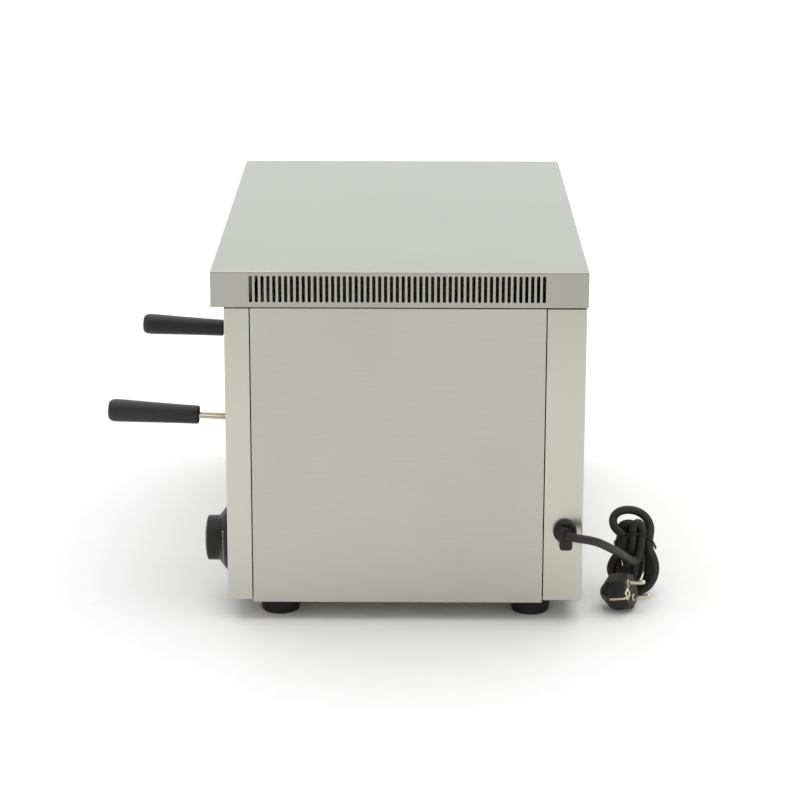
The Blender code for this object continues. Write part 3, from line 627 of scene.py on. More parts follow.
def lobe(start, end, height, bulge, yaw=0.0, lean=(0.0, 0.0)):
    """Half a turn of the hank, from one place in the tie to the next: it rises (or falls) by a
    sine, its two sides swell apart along the yawed direction by twice that sine's double, and its
    middle leans by the lean."""
    s = np.linspace(0.0, math.pi, 13)[1:-1, None]
    start, end = np.array(start), np.array(end)
    way = np.array((-math.sin(yaw), math.cos(yaw), 0.0)) * np.sign(end[1] - start[1])
    flat = start + (end - start) * (1 - np.cos(s)) / 2 - bulge * np.sin(2 * s) * way
    leaning = np.sin(s) ** 0.8 * np.array((*lean, 0.0))
    return flat + leaning + np.sin(s) ** 1.35 * np.array((0.0, 0.0, height))


def hank_turns():
    """Five uneven turns through the tie: the lead rises into a narrow loop, then come a low one,
    the big one and two more low ones behind. The lower halves are wide and rest on the floor."""
    rear = [(0.2222, 0.3225), (0.2120, 0.3230), (0.2225, 0.3315), (0.2040, 0.3170), (0.2020, 0.3260)]
    near = [(0.2228, 0.3100), (0.2110, 0.3000), (0.2230, 0.2980), (0.2045, 0.3070), (0.2040, 0.2985)]
    ups, downs = ([(*spot, TIE_AT[2]) for spot in spots] for spots in (rear, near))
    over = [
        (0.0180, 0.001, 0.0, (-0.002, 0.0)),
        (0.0110, 0.002, 0.0, (-0.002, -0.005)),
        (0.0262, 0.0075, 0.05, (-0.018, -0.008)),
        (0.0100, 0.001, 0.3, (0.0, -0.002)),
        (0.0060, 0.000, 0.0, (-0.002, -0.001)),
    ]
    under = [
        (-0.0590, 0.006, 0.1, (0.003, 0.004)),
        (-0.0600, 0.0105, -0.1, (0.008, -0.001)),
        (-0.0585, 0.009, 0.0, (-0.004, 0.000)),
        (-0.0500, 0.004, 0.0, (-0.004, 0.000)),
    ]
    points = []
    for turn, (up, down, shape) in enumerate(zip(ups, downs, over)):
        points += [up, *lobe(up, down, *shape), down]
        if turn < len(under):
            points += [*lobe(down, ups[turn + 1], *under[turn])]
    return np.array(points)


def push_from_line(path, start, end, clear):
    """Move points out to a distance from a line between two points."""
    run = end - start
    share = np.clip((path - start) @ run / (run @ run), 0.0, 1.0)
    off = path - (start + share[:, None] * run)
    far = np.linalg.norm(off, axis=1, keepdims=True)
    return path + off / far * np.maximum(0.0, clear - far)


def settled(path, held, rounds=90, easing=8):
    """Lay the cord so that it doesn't run through itself, the plug or the floor. Points of two runs
    closer than the cord's diameter part by a share of what is missing, and the tie holds the runs
    that pass through it. The shift, not the path, is smoothed along the cord, so that the loops
    keep their shape; the easing rounds take out the kinks that are left. The held lengths stay
    put."""
    first, last = (round(length / STEP) for length in held)
    count = len(path)
    place_on = np.arange(count)
    apart = np.abs(np.subtract.outer(place_on, place_on)) > 1.5 * CORD_D / STEP
    free = ease((place_on - first) / 8) * ease((count - last - place_on) / 8)
    before_plug = slice(0, count - 3 * last)
    part_share, plug_clear, boot_clear = 0.22, 24.0 * MM, 11.0 * MM
    waist_half, waist_middle, waist_reach = (14.5 * MM, 17.5 * MM, 1.0), TIE_AT[2] - 5 * MM, 9 * MM
    shift = np.zeros_like(path)
    for _ in range(rounds):
        laid = path + shift
        between = laid[:, None] - laid[None]
        far = np.linalg.norm(between, axis=2) + 1e-9
        short = np.where(apart, np.maximum(0.0, CORD_D - far), 0.0)
        laid = laid + part_share * (between / far[..., None] * short[..., None]).sum(axis=1)
        laid = push_from_line(laid, plug_at(-PLUG_HALF, 0, 0), plug_at(PLUG_HALF, 0, 0), plug_clear)
        boot_start, boot_end = plug_at(CABLE_IN, 8.0 * MM, 0), plug_at(CABLE_IN, 38.0 * MM, 0)
        laid[before_plug] = push_from_line(laid, boot_start, boot_end, boot_clear)[before_plug]
        waist = np.abs(laid[:, 2] - waist_middle) < waist_reach
        off = (laid[waist] - TIE_AT) * (1, 1, 0)
        spread_out = np.linalg.norm(off / waist_half, axis=1, keepdims=True)
        laid[waist] -= off * np.maximum(0.0, 1 - 1 / np.maximum(spread_out, 1e-6))
        laid[:, 2] = np.clip(laid[:, 2], CORD_D / 2 + 0.1 * MM, HANK_HIGH[2] - CORD_D / 2)
        laid[:, 1] = np.minimum(laid[:, 1], HANK_HIGH[1] - CORD_D / 2)
        shift = laid - path
        shift[1:-1] = 0.5 * shift[1:-1] + 0.25 * (shift[:-2] + shift[2:])
        shift *= free[:, None]
    path = path + shift
    bent = ease((place_on - first + 16) / 8) * ease((count - last - place_on) / 8)
    for _ in range(easing):
        path[1:-1] += 0.25 * bent[1:-1, None] * (path[:-2] + path[2:] - 2 * path[1:-1])
    return path


def plug_frame():
    """The plug's own axes: along its pins, towards its cable, and across both."""
    pins = PLUG_PIN_WAY / np.linalg.norm(PLUG_PIN_WAY)
    cable = PLUG_CABLE_WAY - pins * (PLUG_CABLE_WAY @ pins)
    cable /= np.linalg.norm(cable)
    return pins, cable, np.cross(cable, pins)


def plug_at(along_pins, along_cable, across_both):
    """A point given in the plug's own axes."""
    pins, cable, across = plug_frame()
    return PLUG_MID + pins * along_pins + cable * along_cable + across * across_both


def cord_path():
    """The whole lead: the run from the gland, the hank, and the run into the plug's boot."""
    into_boot = [plug_at(CABLE_IN, along * MM, 0.0) for along in (47.0, 37.0, 24.0)]
    to_plug = [(0.2045, 0.3010, 0.0500), (0.2085, 0.3035, 0.0430), *into_boot]
    route = np.vstack([LEAD_ROUTE, hank_turns(), to_plug])
    held_at_gland, held_at_plug = 0.155, 0.026
    return evenly(settled(catmull(route, STEP), (held_at_gland, held_at_plug)), STEP)


def make_plug_body():
    """A rounded octagon carried along the pins' direction, widest behind its face and narrowing to
    the rear, with a ribbed boot that leaves square to the pins."""
    _, cable, across = plug_frame()
    profile = [
        (2.0, -33.6), (6.0, -33.4), (18.6, -22.0), (20.2, -19.5), (20.2, -3.0), (18.6, -0.3),
        (18.0, 0.0),
    ]
    angle = np.linspace(0.0, FULL_TURN, 96, endpoint=False)
    facet = np.cos(np.mod(angle + math.pi / 8, math.pi / 4) - math.pi / 8)
    octagon = 0.9 * (math.cos(math.pi / 8) / facet) + 0.1 * 0.97
    spokes = np.cos(angle)[:, None] * cable + np.sin(angle)[:, None] * across
    rings = []
    for radius, along in fillet(profile, 0.8, steps=2, support=0.1):
        middle = plug_at(PLUG_HALF + along * MM, 0, 0)
        rings.append(middle + radius * MM * octagon[:, None] * spokes)
    rings = np.array(rings)
    above_floor = 0.3 * MM
    rings[..., 2] = np.maximum(rings[..., 2], above_floor)
    body = surface("plug_shell", rings, PLUG_RUBBER, sharp_angle=18)
    # The boot's ribs are rings of larger radius, between grooves that let it bend.
    reach = np.linspace(10.0, 39.0, 88)
    rib_pitch, groove, mouth_radius = 4.2, 1.0, 5.6
    radii = 9.6 - 3.2 * ease((reach - 12) / 26)
    ribs = (np.sin((reach - 15.0) * FULL_TURN / rib_pitch) > 0) & (reach > 15.0) & (reach < 37.0)
    radii = np.where(ribs, radii, radii - groove)
    radii[-2:] = mouth_radius
    boot_path = plug_at(CABLE_IN, 0, 0) + reach[:, None] * MM * cable
    boot = surface("plug_boot", tube_grid(boot_path, radii * MM, 32), PLUG_RUBBER, sharp_angle=35)
    body = boolean(body, boot, "UNION", 20)
    body.name = "plug"
    return place(body, "root", "plug_body", slot="black_rubber")


def make_plug_pins():
    """Two round pins with domed ends, each in a white collar."""
    pins, pieces, spacing = plug_frame()[0], [], 19.0 * MM
    pin = [(0.3, 19.0), (1.7, 18.9), (2.4, 17.3), (2.4, 0.0), (2.4, -3.0)]
    pin = fillet(pin, 0.6, steps=3, support=0.1)
    collar = [(2.5, 0.5), (3.4, 0.5), (3.8, 0.1), (3.8, -1.0), (2.5, -1.0)]
    collar = fillet(collar, 0.2, steps=2, closed=True)
    for name, side in (("upper", -0.5), ("lower", 0.5)):
        base = plug_at(PLUG_HALF, 0, side * spacing)
        made = turned(f"pin_{name}", pin * MM, base, pins, BRASS, 32)
        pieces.append(place(made, "root", f"plug_pin_{name}", slot="nickel_brass"))
        grid = turned_grid(collar * MM, base, pins, 40)
        ring = surface(f"pin_collar_{name}", grid, WHITE_NYLON, wrap_rings=True)
        pieces.append(place(ring, "root", slot="white_nylon"))
    return pieces


def make_earth_contacts():
    """A square plate with the hole for an earth pin, and the spring strip down the plug's side."""
    _, cable, across = plug_frame()
    offset, square, half_side = -4.0 * MM, 6, 5.6
    angle = np.linspace(0.0, FULL_TURN, 49)[:-1]
    lean = 1 / (np.abs(np.cos(angle)) ** square + np.abs(np.sin(angle)) ** square) ** (1 / square)
    circle = np.stack([np.cos(angle), np.sin(angle)], axis=1)
    # Each ring has a share of the square, a hole's radius and a height over the plug's face.
    plate = [
        (1.0, 0.0, 0.3), (1.0, 0.0, 0.75), (0.95, 0.0, 0.9),
        (0.0, 2.6, 0.9), (0.0, 2.4, 0.75), (0.0, 2.4, 0.3),
    ]
    rings = []
    for share, hole, lift in plate:
        flat = (share * half_side * lean + hole)[:, None] * circle * MM
        middle = plug_at(PLUG_HALF + lift * MM, -11.0 * MM, offset)
        rings.append(middle + flat[:, :1] * cable + flat[:, 1:] * across)
    plate_ring = surface("earth_plate", np.array(rings), BRASS, wrap_rings=True)
    line = [
        (0.7, -15.0), (0.8, -17.6), (0.0, -18.9), (-3.0, -19.2), (-10.0, -19.2), (-17.0, -19.0),
        (-18.0, -18.2),
    ]
    bends = [plug_at(PLUG_HALF + a * MM, c * MM, offset) for a, c in line]
    spine = evenly(catmull(bends, 0.5 * MM), 0.5 * MM)
    tangent = np.gradient(spine, axis=0)
    tangent /= np.linalg.norm(tangent, axis=1, keepdims=True)
    wide, thick = 1.3 * MM * across, 0.3 * MM * np.cross(tangent, across)
    section = [spine + a * wide + b * thick for a, b in ((-1, -1), (1, -1), (1, 1), (-1, 1))]
    strip = surface("earth_strip", np.stack(section, axis=1), BRASS)
    earth = joined("earth_contacts", [plate_ring, strip])
    return place(earth, "root", "earth_clip", slot="nickel_brass")


def make_gland():
    """A snap-in strain relief: a round head with rounded edges, a lower tab, and a tapered nose
    round the lead."""
    low = corners("strain_relief")[0]
    head = np.array([SIDE_X + 0.3 * MM, low[1] + 12.9 * MM, 0.100])
    rim = [(0.2, 4.6), (8.2, 4.6), (8.9, 6.1), (10.9, 6.1), (12.25, 4.6), (12.25, 0.0)]
    rim = fillet(rim, 0.7, steps=4, support=0.1) * MM
    gland = turned("gland", rim, head, (1, 0, 0), GLAND_NYLON, 72)
    tab_low = (head[1] - 5.5 * MM, head[2] - 20.0 * MM)
    tab_high = (head[1] + 7.8 * MM, head[2] - 2.0 * MM)
    tab_edge = np.array([(0.0, 0.0), (0.0, 5.4), (1.4, 5.9)]) * MM
    tab_edge = fillet(tab_edge, 0.9 * MM, support=0.05 * MM) + (0, head[0])
    tab = pan("gland_tab", tab_low, tab_high, tab_edge, "yzx", GLAND_NYLON, corner=3.2 * MM)
    boolean(gland, tab, "UNION")
    start, towards = np.array(LEAD_ROUTE[0]), catmull(LEAD_ROUTE, 10.5 * MM)[1]
    way = (towards - start) / np.linalg.norm(towards - start)
    nose = np.array(
        [(7.6, -10.5), (7.1, -4.6), (6.9, -3.4), (6.5, -2.8), (5.9, -2.5), (4.9, -2.6), (4.7, -4.0)]
    )
    boolean(gland, turned("gland_nose", nose * MM, start, way, GLAND_NYLON, 48), "UNION")
    return place(gland, "root", "strain_relief", slot="black_nylon")


def make_tie(path):
    """Plastic-covered tie wire: one loop round the bundle, arched up at the front, its two ends
    twisted."""
    angle = np.linspace(0.0, FULL_TURN, 129)
    after_lead = path[round(0.160 / STEP) :]
    held = after_lead[np.abs(after_lead[:, 2] - TIE_AT[2] + 3 * MM) < 5 * MM]
    half_x, half_y = (np.abs(held - TIE_AT).max(axis=0) + CORD_D / 2 + 1.2 * MM)[:2]
    power = 2 / 2.6
    y = TIE_AT[1] + half_y * np.sign(np.cos(angle)) * np.abs(np.cos(angle)) ** power
    x = TIE_AT[0] + half_x * np.sign(np.sin(angle)) * np.abs(np.sin(angle)) ** power
    arch = np.clip(np.sin(angle), 0.0, 1.0) ** 1.3
    z = TIE_AT[2] - 13.0 * MM - 3.0 * MM * np.cos(angle) + 19.5 * MM * arch
    loop = evenly(np.stack([x, y, z], axis=1), 1.5 * MM)[:-1]
    loop_radius, end_radius = 0.95 * MM, 0.75 * MM
    ring = surface("tie_loop", tube_grid(loop, loop_radius, 10), TIE_PVC, wrap_rings=True)
    t = np.linspace(0.0, 1.0, 40)
    start = TIE_AT + np.array([half_x - 1.0 * MM, -3.0 * MM, 6.4 * MM])
    drop, turns = np.array([1.5, -8.0, -4.0]) * MM, 2.5
    ends = []
    for phase in (0.0, math.pi):
        twist = turns * FULL_TURN * t + phase
        swing = 0.8 * MM * np.stack([np.cos(twist), np.zeros(len(t)), np.sin(twist)], axis=1)
        ends.append(tube("tie_end", start + t[:, None] * drop + swing, end_radius, TIE_PVC, 8))
    return place(joined("tie_wire", [ring, *ends]), "root", "cord_tie", slot="black_nylon")


def make_cord():
    """The mains lead as one cord, with the pieces that sit on it."""
    path = cord_path()
    cord = tube("mains_cord", path, CORD_D / 2, CORD_RUBBER, 20)
    place(cord, "root", "mains_lead", "cord_hank", slot="black_rubber")
    on_it = [make_gland(), make_plug_body(), *make_plug_pins(), make_earth_contacts()]
    on_it.append(make_tie(path))


make_cord()


# ---- Casing ----
def make_cover():
    """An inverted pan: flat top, rounded fold, a rim all round, and vent slots cut through both
    side rims."""
    low, high = COVER_LOW, COVER_HIGH
    top, bottom = high[2], low[2]
    fold, thick, reach, hem = 1.6 * MM, 1.0 * MM, 8 * MM, 1 * MM
    outside = fillet([(reach, top), (0.0, top), (0.0, bottom)], fold)[:-1]
    edge = [(0.0, bottom + hem), (0.0, bottom), (thick, bottom), (thick, bottom + hem)]
    edge = fillet(edge, 0.4 * MM)[1:-1]
    inside = fillet([(thick, bottom + hem), (thick, top - thick), (reach, top - thick)], 0.6 * MM)
    profile = np.concatenate([outside, edge, inside[1:]])
    cover = pan(
        "cover", low[:2], high[:2], profile, "xyz", COVER_STEEL, corner=1.0 * MM, sharp_angle=35
    )
    count, pitch, first_slot, below_top = 51, 5.97 * MM, 41.0 * MM, 18.1 * MM
    y = low[1] + first_slot + pitch * np.arange(count)
    z = top - below_top
    for side in (high[0], low[0]):
        centres = np.stack([np.full(count, side), y, np.full(count, z)], axis=1)
        slots = slot_cutter(centres, SLOT_W, SLOT_H, 8 * MM, ((0, 1, 0), (1, 0, 0)))
        boolean(cover, slots, sharp_angle=35)
    place(cover, "root", "top_cover", slot="brushed_stainless")


def make_side_panels():
    """A plate with a small bend radius on all four edges, hemmed inwards."""
    for side, outer, inner in (("right", 1, 0), ("left", 0, 1)):
        box = corners(f"side_panel_{side}")
        profile = folded(box[outer][0], box[inner][0], SHEET, (0.9 * MM, 0.4 * MM))
        low, high = box[0][1:], box[1][1:]
        panel = pan(f"side_skin_{side}", low, high, profile, "yzx", SIDE_STEEL, corner=1.0 * MM)
        place(panel, "root", f"side_panel_{side}", slot="brushed_stainless")


def make_front():
    """The fascia: rings from the chamber's mouth out to the folded edges and back along the side
    returns, with an opening for each switch."""
    front, back = FRONT_LOW[1], FRONT_HIGH[1]
    mouth_low, mouth_high = np.array([-0.2485, 0.1086]), np.array([0.2485, 0.3195])
    # The mouth's edge, as distances outwards from the opening and back from the front.
    lip = np.array([(0.0, 1.0), (0.0, 0.35), (0.12, 0.1), (0.35, 0.0), (1.0, 0.0)]) * MM
    rings = [
        (mouth_low - out, mouth_high + out, 2.0 * MM + out, front + depth) for out, depth in lip
    ]
    low, high = FRONT_LOW[[0, 2]], FRONT_HIGH[[0, 2]]
    for inset, level in folded(front, back, SHEET, (1.8 * MM, 0.8 * MM)):
        rings.append((low + inset, high - inset, 1.2 * MM, level))
    fascia = rectangles("fascia", rings, "xzy", SATIN_STEEL, wrap_rings=True, sharp_angle=35)
    half = np.array([11.3, 3.0, 14.3]) * MM
    for x in SWITCH_X.values():
        middle = np.array([x, front, SWITCH_Z])
        opening = block("switch_cutout", middle - half, middle + half, SATIN_STEEL)
        fascia = boolean(fascia, opening, sharp_angle=35)
    place(fascia, "root", "front_panel", slot="satin_stainless")


def make_rear():
    """The back sheet with its deep side flanges and a row of vents."""
    low, high = REAR_LOW, REAR_HIGH
    profile = folded(high[1], low[1], SHEET, (1.8 * MM, 0.8 * MM))
    back = pan("back_sheet", low[[0, 2]], high[[0, 2]], profile, "xzy", SATIN_STEEL)
    count, pitch, level = 24, 8.955 * MM, 0.300
    x = pitch * (np.arange(count) - (count - 1) / 2)
    centres = np.stack([x, np.full(count, high[1]), np.full(count, level)], axis=1)
    boolean(back, slot_cutter(centres, SLOT_W, SLOT_H, 8 * MM, ((1, 0, 0), (0, 1, 0))))
    place(back, "root", "rear_panel", slot="satin_stainless")


def make_feet():
    """Four turned rubber feet, chamfered where they stand."""
    profile = [
        (3.0, 2.6), (4.0, 0.6), (5.0, 0.0), (18.0, 0.0), (19.6, 1.4), (20.2, 4.6), (21.2, 15.8),
        (21.2, 20.8),
    ]
    rounded = fillet(profile, 1.2, steps=4, support=0.2) * MM
    for spot in ("front_left", "front_right", "rear_left", "rear_right"):
        low, high = corners(f"foot_{spot}")
        middle = ((low[0] + high[0]) / 2, (low[1] + high[1]) / 2, 0.0)
        foot = turned(f"rubber_foot_{spot}", rounded, middle, (0, 0, 1), FOOT_RUBBER, 56)
        place(foot, "root", f"foot_{spot}", slot="black_rubber")


def make_rear_screws():
    """Pan-head screws with a cross recess."""
    head = [(0.2, 1.2), (1.9, 1.05), (3.3, 0.6), (3.6, 0.0)]
    head = fillet(head, 0.6, steps=3, support=0.05) * MM
    recess_level = np.array([0.0, 1.4 * MM, 0.0])
    for spot in ("lower_left", "lower_right", "upper_left", "upper_right"):
        low, high = corners(f"rear_screw_{spot}")
        middle = np.array([(low[0] + high[0]) / 2, REAR_HIGH[1], (low[2] + high[2]) / 2])
        screw = turned(f"pan_screw_{spot}", head, middle, (0, 1, 0), ZINC, 28)
        for wide, tall in ((1.9, 0.42), (0.42, 1.9)):
            half, at = np.array([wide, 0.9, tall]) * MM, middle + recess_level
            boolean(screw, block("cross_arm", at - half, at + half, ZINC, 0.05 * MM))
        place(screw, "root", f"rear_screw_{spot}", slot="zinc_plated_steel")


make_cover()
make_side_panels()
make_front()
make_rear()
make_feet()
make_rear_screws()


# ---- Grid, handles and guards ----
HANDLE_X = 0.1906
HANDLE_RISE = math.radians(3.0)
HANDLE_L = 98.4 * MM
GRID_PLANE = 0.1882
WIRE_KNEE = -0.090
HANDLE_INNER_Y = float(corners("handle_right")[0][1]) + HANDLE_L * math.cos(HANDLE_RISE)


def handle_point(x, along):
    """A point on a line through a handle, the given distance from the handle's inner end."""
    inner_z = GRID_PLANE + (WIRE_KNEE - HANDLE_INNER_Y) * math.tan(HANDLE_RISE)
    y = HANDLE_INNER_Y - along * math.cos(HANDLE_RISE)
    return np.array([x, y, inner_z + along * math.sin(HANDLE_RISE)])


def make_grid():
    """Wires welded where they cross: a frame with bent corners, two stiffeners, the grill bars, and
    two wires out to each handle."""
    half, front, rear = 0.2405, -0.105, 0.190
    frame_radius, stiffener_radius, bar_radius = 2.5 * MM, 2.0 * MM, 1.6 * MM
    outline = [(half, rear), (-half, rear), (-half, front), (half, front)]
    outline = fillet(outline, 12 * MM, steps=8, support=0, closed=True)
    ring = np.column_stack([outline, np.full(len(outline), GRID_PLANE)])
    ring = closed_tube_grid(ring, frame_radius, 16)
    edge = surface("grid_frame", ring, CHROME, wrap_rings=True, sharp_angle=60)
    wires = []
    for share in (1 / 3, 2 / 3):
        y = front + (rear - front) * share
        ends = (-half, y, GRID_PLANE), (half, y, GRID_PLANE)
        wires.append(straight_wire(*ends, stiffener_radius))
    level, past = GRID_PLANE + 3.3 * MM, 1.0 * MM
    for x in np.linspace(-0.220, 0.220, 12):
        wires.append(straight_wire((x, front - past, level), (x, rear + past, level), bar_radius))
    start_y = front + (rear - front) / 3 + 3.0 * MM
    for side in (-HANDLE_X, HANDLE_X):
        for x in (side - 5.5 * MM, side + 5.5 * MM):
            bend = [(x, start_y, GRID_PLANE), (x, WIRE_KNEE, GRID_PLANE), handle_point(x, 55 * MM)]
            path = fillet(bend, 20 * MM, steps=8)
            wires.append((path, np.full(len(path), stiffener_radius)))
    wires = many_tubes("grid_wires", wires, CHROME)
    place(joined("grid", [edge, wires]), "grid", "grill_grid", slot="chrome_wire")


def make_handles():
    """Moulded handles: a rounded shoulder at the inner end, then a slow taper up to a thicker,
    domed outer end."""
    profile = [
        (4.2, 1.0), (8.4, 0.0), (9.9, 1.3), (10.2, 20.0), (11.2, 55.0), (12.25, 86.0),
        (12.1, 93.0), (9.6, 97.3), (3.0, 98.4), (0.2, 98.4),
    ]
    rounded = fillet(profile, 7.0, steps=6, support=0.2) * MM
    for side, x in (("left", -HANDLE_X), ("right", HANDLE_X)):
        inner = handle_point(x, 0.0)
        way = handle_point(x, 1.0) - inner
        handle = turned(f"grip_{side}", rounded, inner, way, PHENOLIC, 72, sharp_angle=50)
        place(handle, "grid", f"handle_{side}", slot="black_phenolic")


def make_guards():
    """Two rails from wall to wall, with wires from front to back on the chamber's side of them."""
    half, front, rear, past = CHAMBER_X - 0.6 * MM, -0.078, 0.158, 6 * MM
    rail_radius, wire_radius = 1.8 * MM, 1.4 * MM
    for row, z, inward in (("upper", 0.2830, -1), ("lower", 0.1530, 1)):
        wires = [straight_wire((-half, y, z), (half, y, z), rail_radius) for y in (front, rear)]
        level = z + inward * 2.6 * MM
        for x in np.linspace(-0.216, 0.216, 9):
            ends = (x, front - past, level), (x, rear + past, level)
            wires.append(straight_wire(*ends, wire_radius))
        guard = many_tubes(f"tube_guard_{row}", wires, CHROME)
        place(guard, "root", f"guard_{row}", slot="chrome_wire")


def make_quartz_tubes():
    """Four milky heater tubes, each along the middle of its node's box."""
    for spot in ("upper_front", "upper_rear", "lower_front", "lower_rear"):
        low, high = corners(f"quartz_tube_{spot}")
        start, end = (low + high) / 2, (low + high) / 2
        start[0], end[0] = low[0], high[0]
        path, radii = straight_wire(start, end, 5.5 * MM)
        made = tube(f"heater_{spot}", path, radii, QUARTZ, 40, sharp_angle=60)
        place(made, "root", f"quartz_tube_{spot}", slot="frosted_quartz")


def make_crumb_tray():
    """A shallow folded tray with rounded folds."""
    low, high = corners("crumb_tray")
    profile = folded(low[2], high[2], 0.8 * MM, (1.2 * MM, 0.6 * MM), reach=8 * MM)
    tray = pan("tray", low[:2], high[:2], profile, "xyz", TRAY_STEEL, corner=1.5 * MM)
    place(tray, "tray", "crumb_tray", slot="satin_stainless")


make_grid()
make_handles()
make_guards()
make_quartz_tubes()
make_crumb_tray()


# ---- Controls ----
KNOB_AT = np.array([0.241, FRONT_Y - 0.6 * MM, 0.070])


def printed(name, shapes, to_surface, finish, thickness=0.05 * MM):
    """Ink on a surface: each flat shape's points are put on it by a function, and given a hair's
    thickness."""
    points, faces, first = [], [], 0
    for flat, flat_faces in shapes:
        points.append(to_surface(np.asarray(flat, dtype=float)))
        faces += [[i + first for i in face] for face in flat_faces]
        first += len(flat)
    piece = mesh_piece(name, np.vstack(points), faces, finish)
    solid = piece.modifiers.new("thickness", "SOLIDIFY")
    solid.thickness = thickness
    solid.offset = 0.0
    return piece


def bar(x0, y0, x1, y1):
    """A flat rectangle as a printed shape."""
    return [(x0, y0), (x1, y0), (x1, y1), (x0, y1)], [[0, 1, 2, 3]]


def make_knob():
    """A turned knob: domed face, straight grip with fine flutes, and a conical skirt that carries
    the scale."""
    grip, flutes, flute_depth, sides = 24.0, 48, 0.22 * MM, 144
    profile = [
        (1.0, 27.0), (12.0, 26.5), (19.5, 25.4), (23.2, 24.2), (grip, 22.8), (grip, 11.7),
        (33.5, 4.4), (35.0, 1.4), (35.0, 0.2), (30.0, 0.0), (4.0, 0.0),
    ]
    rounded = fillet(profile, 1.3, steps=4, support=0.3) * MM
    grid = turned_grid(rounded, KNOB_AT, (0, -1, 0), sides)
    from_axis = grid - (KNOB_AT + (grid - KNOB_AT) * (0, 1, 0))
    radius = np.linalg.norm(from_axis, axis=2, keepdims=True)
    on_grip = (np.abs(radius - grip * MM) < 0.3 * MM).astype(float)
    wave = 0.5 + 0.5 * np.cos(np.arange(sides) * FULL_TURN * flutes / sides)
    grid = grid - from_axis / radius * on_grip * flute_depth * wave[None, :, None]
    knob = surface("knob", grid, KNOB_BLACK, sharp_angle=40)
    place(knob, "timer", "timer_knob", slot="black_phenolic")

    def on_skirt(flat):
        """x is the angle in degrees clockwise from the top, y the distance up the skirt's slant
        from its edge."""
        angle = np.radians(flat[:, 0])
        outer, inner = np.array([34.1, 4.15]) * MM, np.array([24.2, 11.75]) * MM
        slant = (inner - outer) / np.linalg.norm(inner - outer)
        radius, lift = (outer + slant * flat[:, 1:]).T
        return KNOB_AT + np.stack([radius * np.sin(angle), -lift, radius * np.cos(angle)], axis=1)

    minutes, sweep, long_every, half_width, foot = 90, 300, 30, 0.6, 3.2
    shapes = []
    for mark in range(minutes + 1):
        middle, tall = -sweep * mark / minutes, 1.4 if mark % long_every else 3.0
        shapes.append(bar(middle - half_width, foot * MM, middle + half_width, (foot + tall) * MM))
    scale = printed("knob_scale", shapes, on_skirt, WHITE_INK)
    place(scale, "timer", slot="black_phenolic")


def on_fascia(x, z):
    """Places flat points on the fascia's front, centred there."""
    y = FRONT_Y - 0.03 * MM
    return lambda flat: np.stack([x + flat[:, 0], np.full(len(flat), y), z + flat[:, 1]], axis=1)


def make_legends():
    """Printed marks: the timer's index, and a picture of upper or lower heat over each switch."""
    above_knob, above_switch = 36.8 * MM, 24.5 * MM
    index = np.array([(-1.3, 1.2), (0.0, -1.2), (1.3, 1.2)]) * MM
    at_index = on_fascia(KNOB_AT[0], KNOB_AT[2] + above_knob)
    tip = printed("timer_index", [(index, [[0, 1, 2]])], at_index, BLACK_INK)
    place(tip, "root", slot="black_phenolic")
    oven = [(-6, -4.5, 6, -4.0), (-6, 4.0, 6, 4.5), (-6, -3.98, -5.5, 3.98), (5.5, -3.98, 6, 3.98)]
    for row, x in SWITCH_X.items():
        heat = 2.6 if row == "upper" else -2.6
        lines = np.array([*oven, (-4.2, heat - 0.5, 4.2, heat + 0.5)]) * MM
        at_switch = on_fascia(x, SWITCH_Z + above_switch)
        mark = printed(f"legend_{row}", [bar(*line) for line in lines], at_switch, BLACK_INK)
        place(mark, "root", slot="black_phenolic")


def make_switches():
    """Bezel with a rounded frame and an open pocket with a floor, and the rocker in it."""
    half, pocket = np.array([12.5, 16.0]) * MM, np.array([8.8, 11.2]) * MM
    wall, back, floor_depth, floor_thick = 1.2 * MM, FRONT_Y - 0.3 * MM, 10.2 * MM, 1.0 * MM
    for row in ("upper", "lower"):
        low, high = corners(f"switch_housing_{row}")
        x, z, front = (low[0] + high[0]) / 2, (low[2] + high[2]) / 2, low[1]
        middle = np.array([x, z])
        outer = fillet([(0.0, back), (0.0, front), (2.4 * MM, front)], 1.1 * MM)
        rings = [
            (middle - half + inset, middle + half - inset, 1.8 * MM, level)
            for inset, level in outer
        ]
        inner = fillet([(wall, front), (0.0, front), (0.0, front + 10.5 * MM)], 0.5 * MM)
        for grow, level in [*inner, (wall, front + 11.5 * MM), (wall, back)]:
            rings.append((middle - pocket - grow, middle + pocket + grow, 0.8 * MM, level))
        name = f"switch_bezel_{row}"
        bezel = rectangles(name, rings, "xzy", KNOB_BLACK, wrap_rings=True, sharp_angle=50)
        floor_low = np.array([x - pocket[0], front + floor_depth, z - pocket[1]])
        floor_high = floor_low + (2 * pocket[0], floor_thick, 2 * pocket[1])
        floor = block(f"switch_floor_{row}", floor_low, floor_high, KNOB_BLACK, 0.1 * MM)
        housing = joined(f"switch_frame_{row}", [bezel, floor])
        place(housing, "root", f"switch_housing_{row}", slot="black_nylon")
        make_rocker(row, x, z)


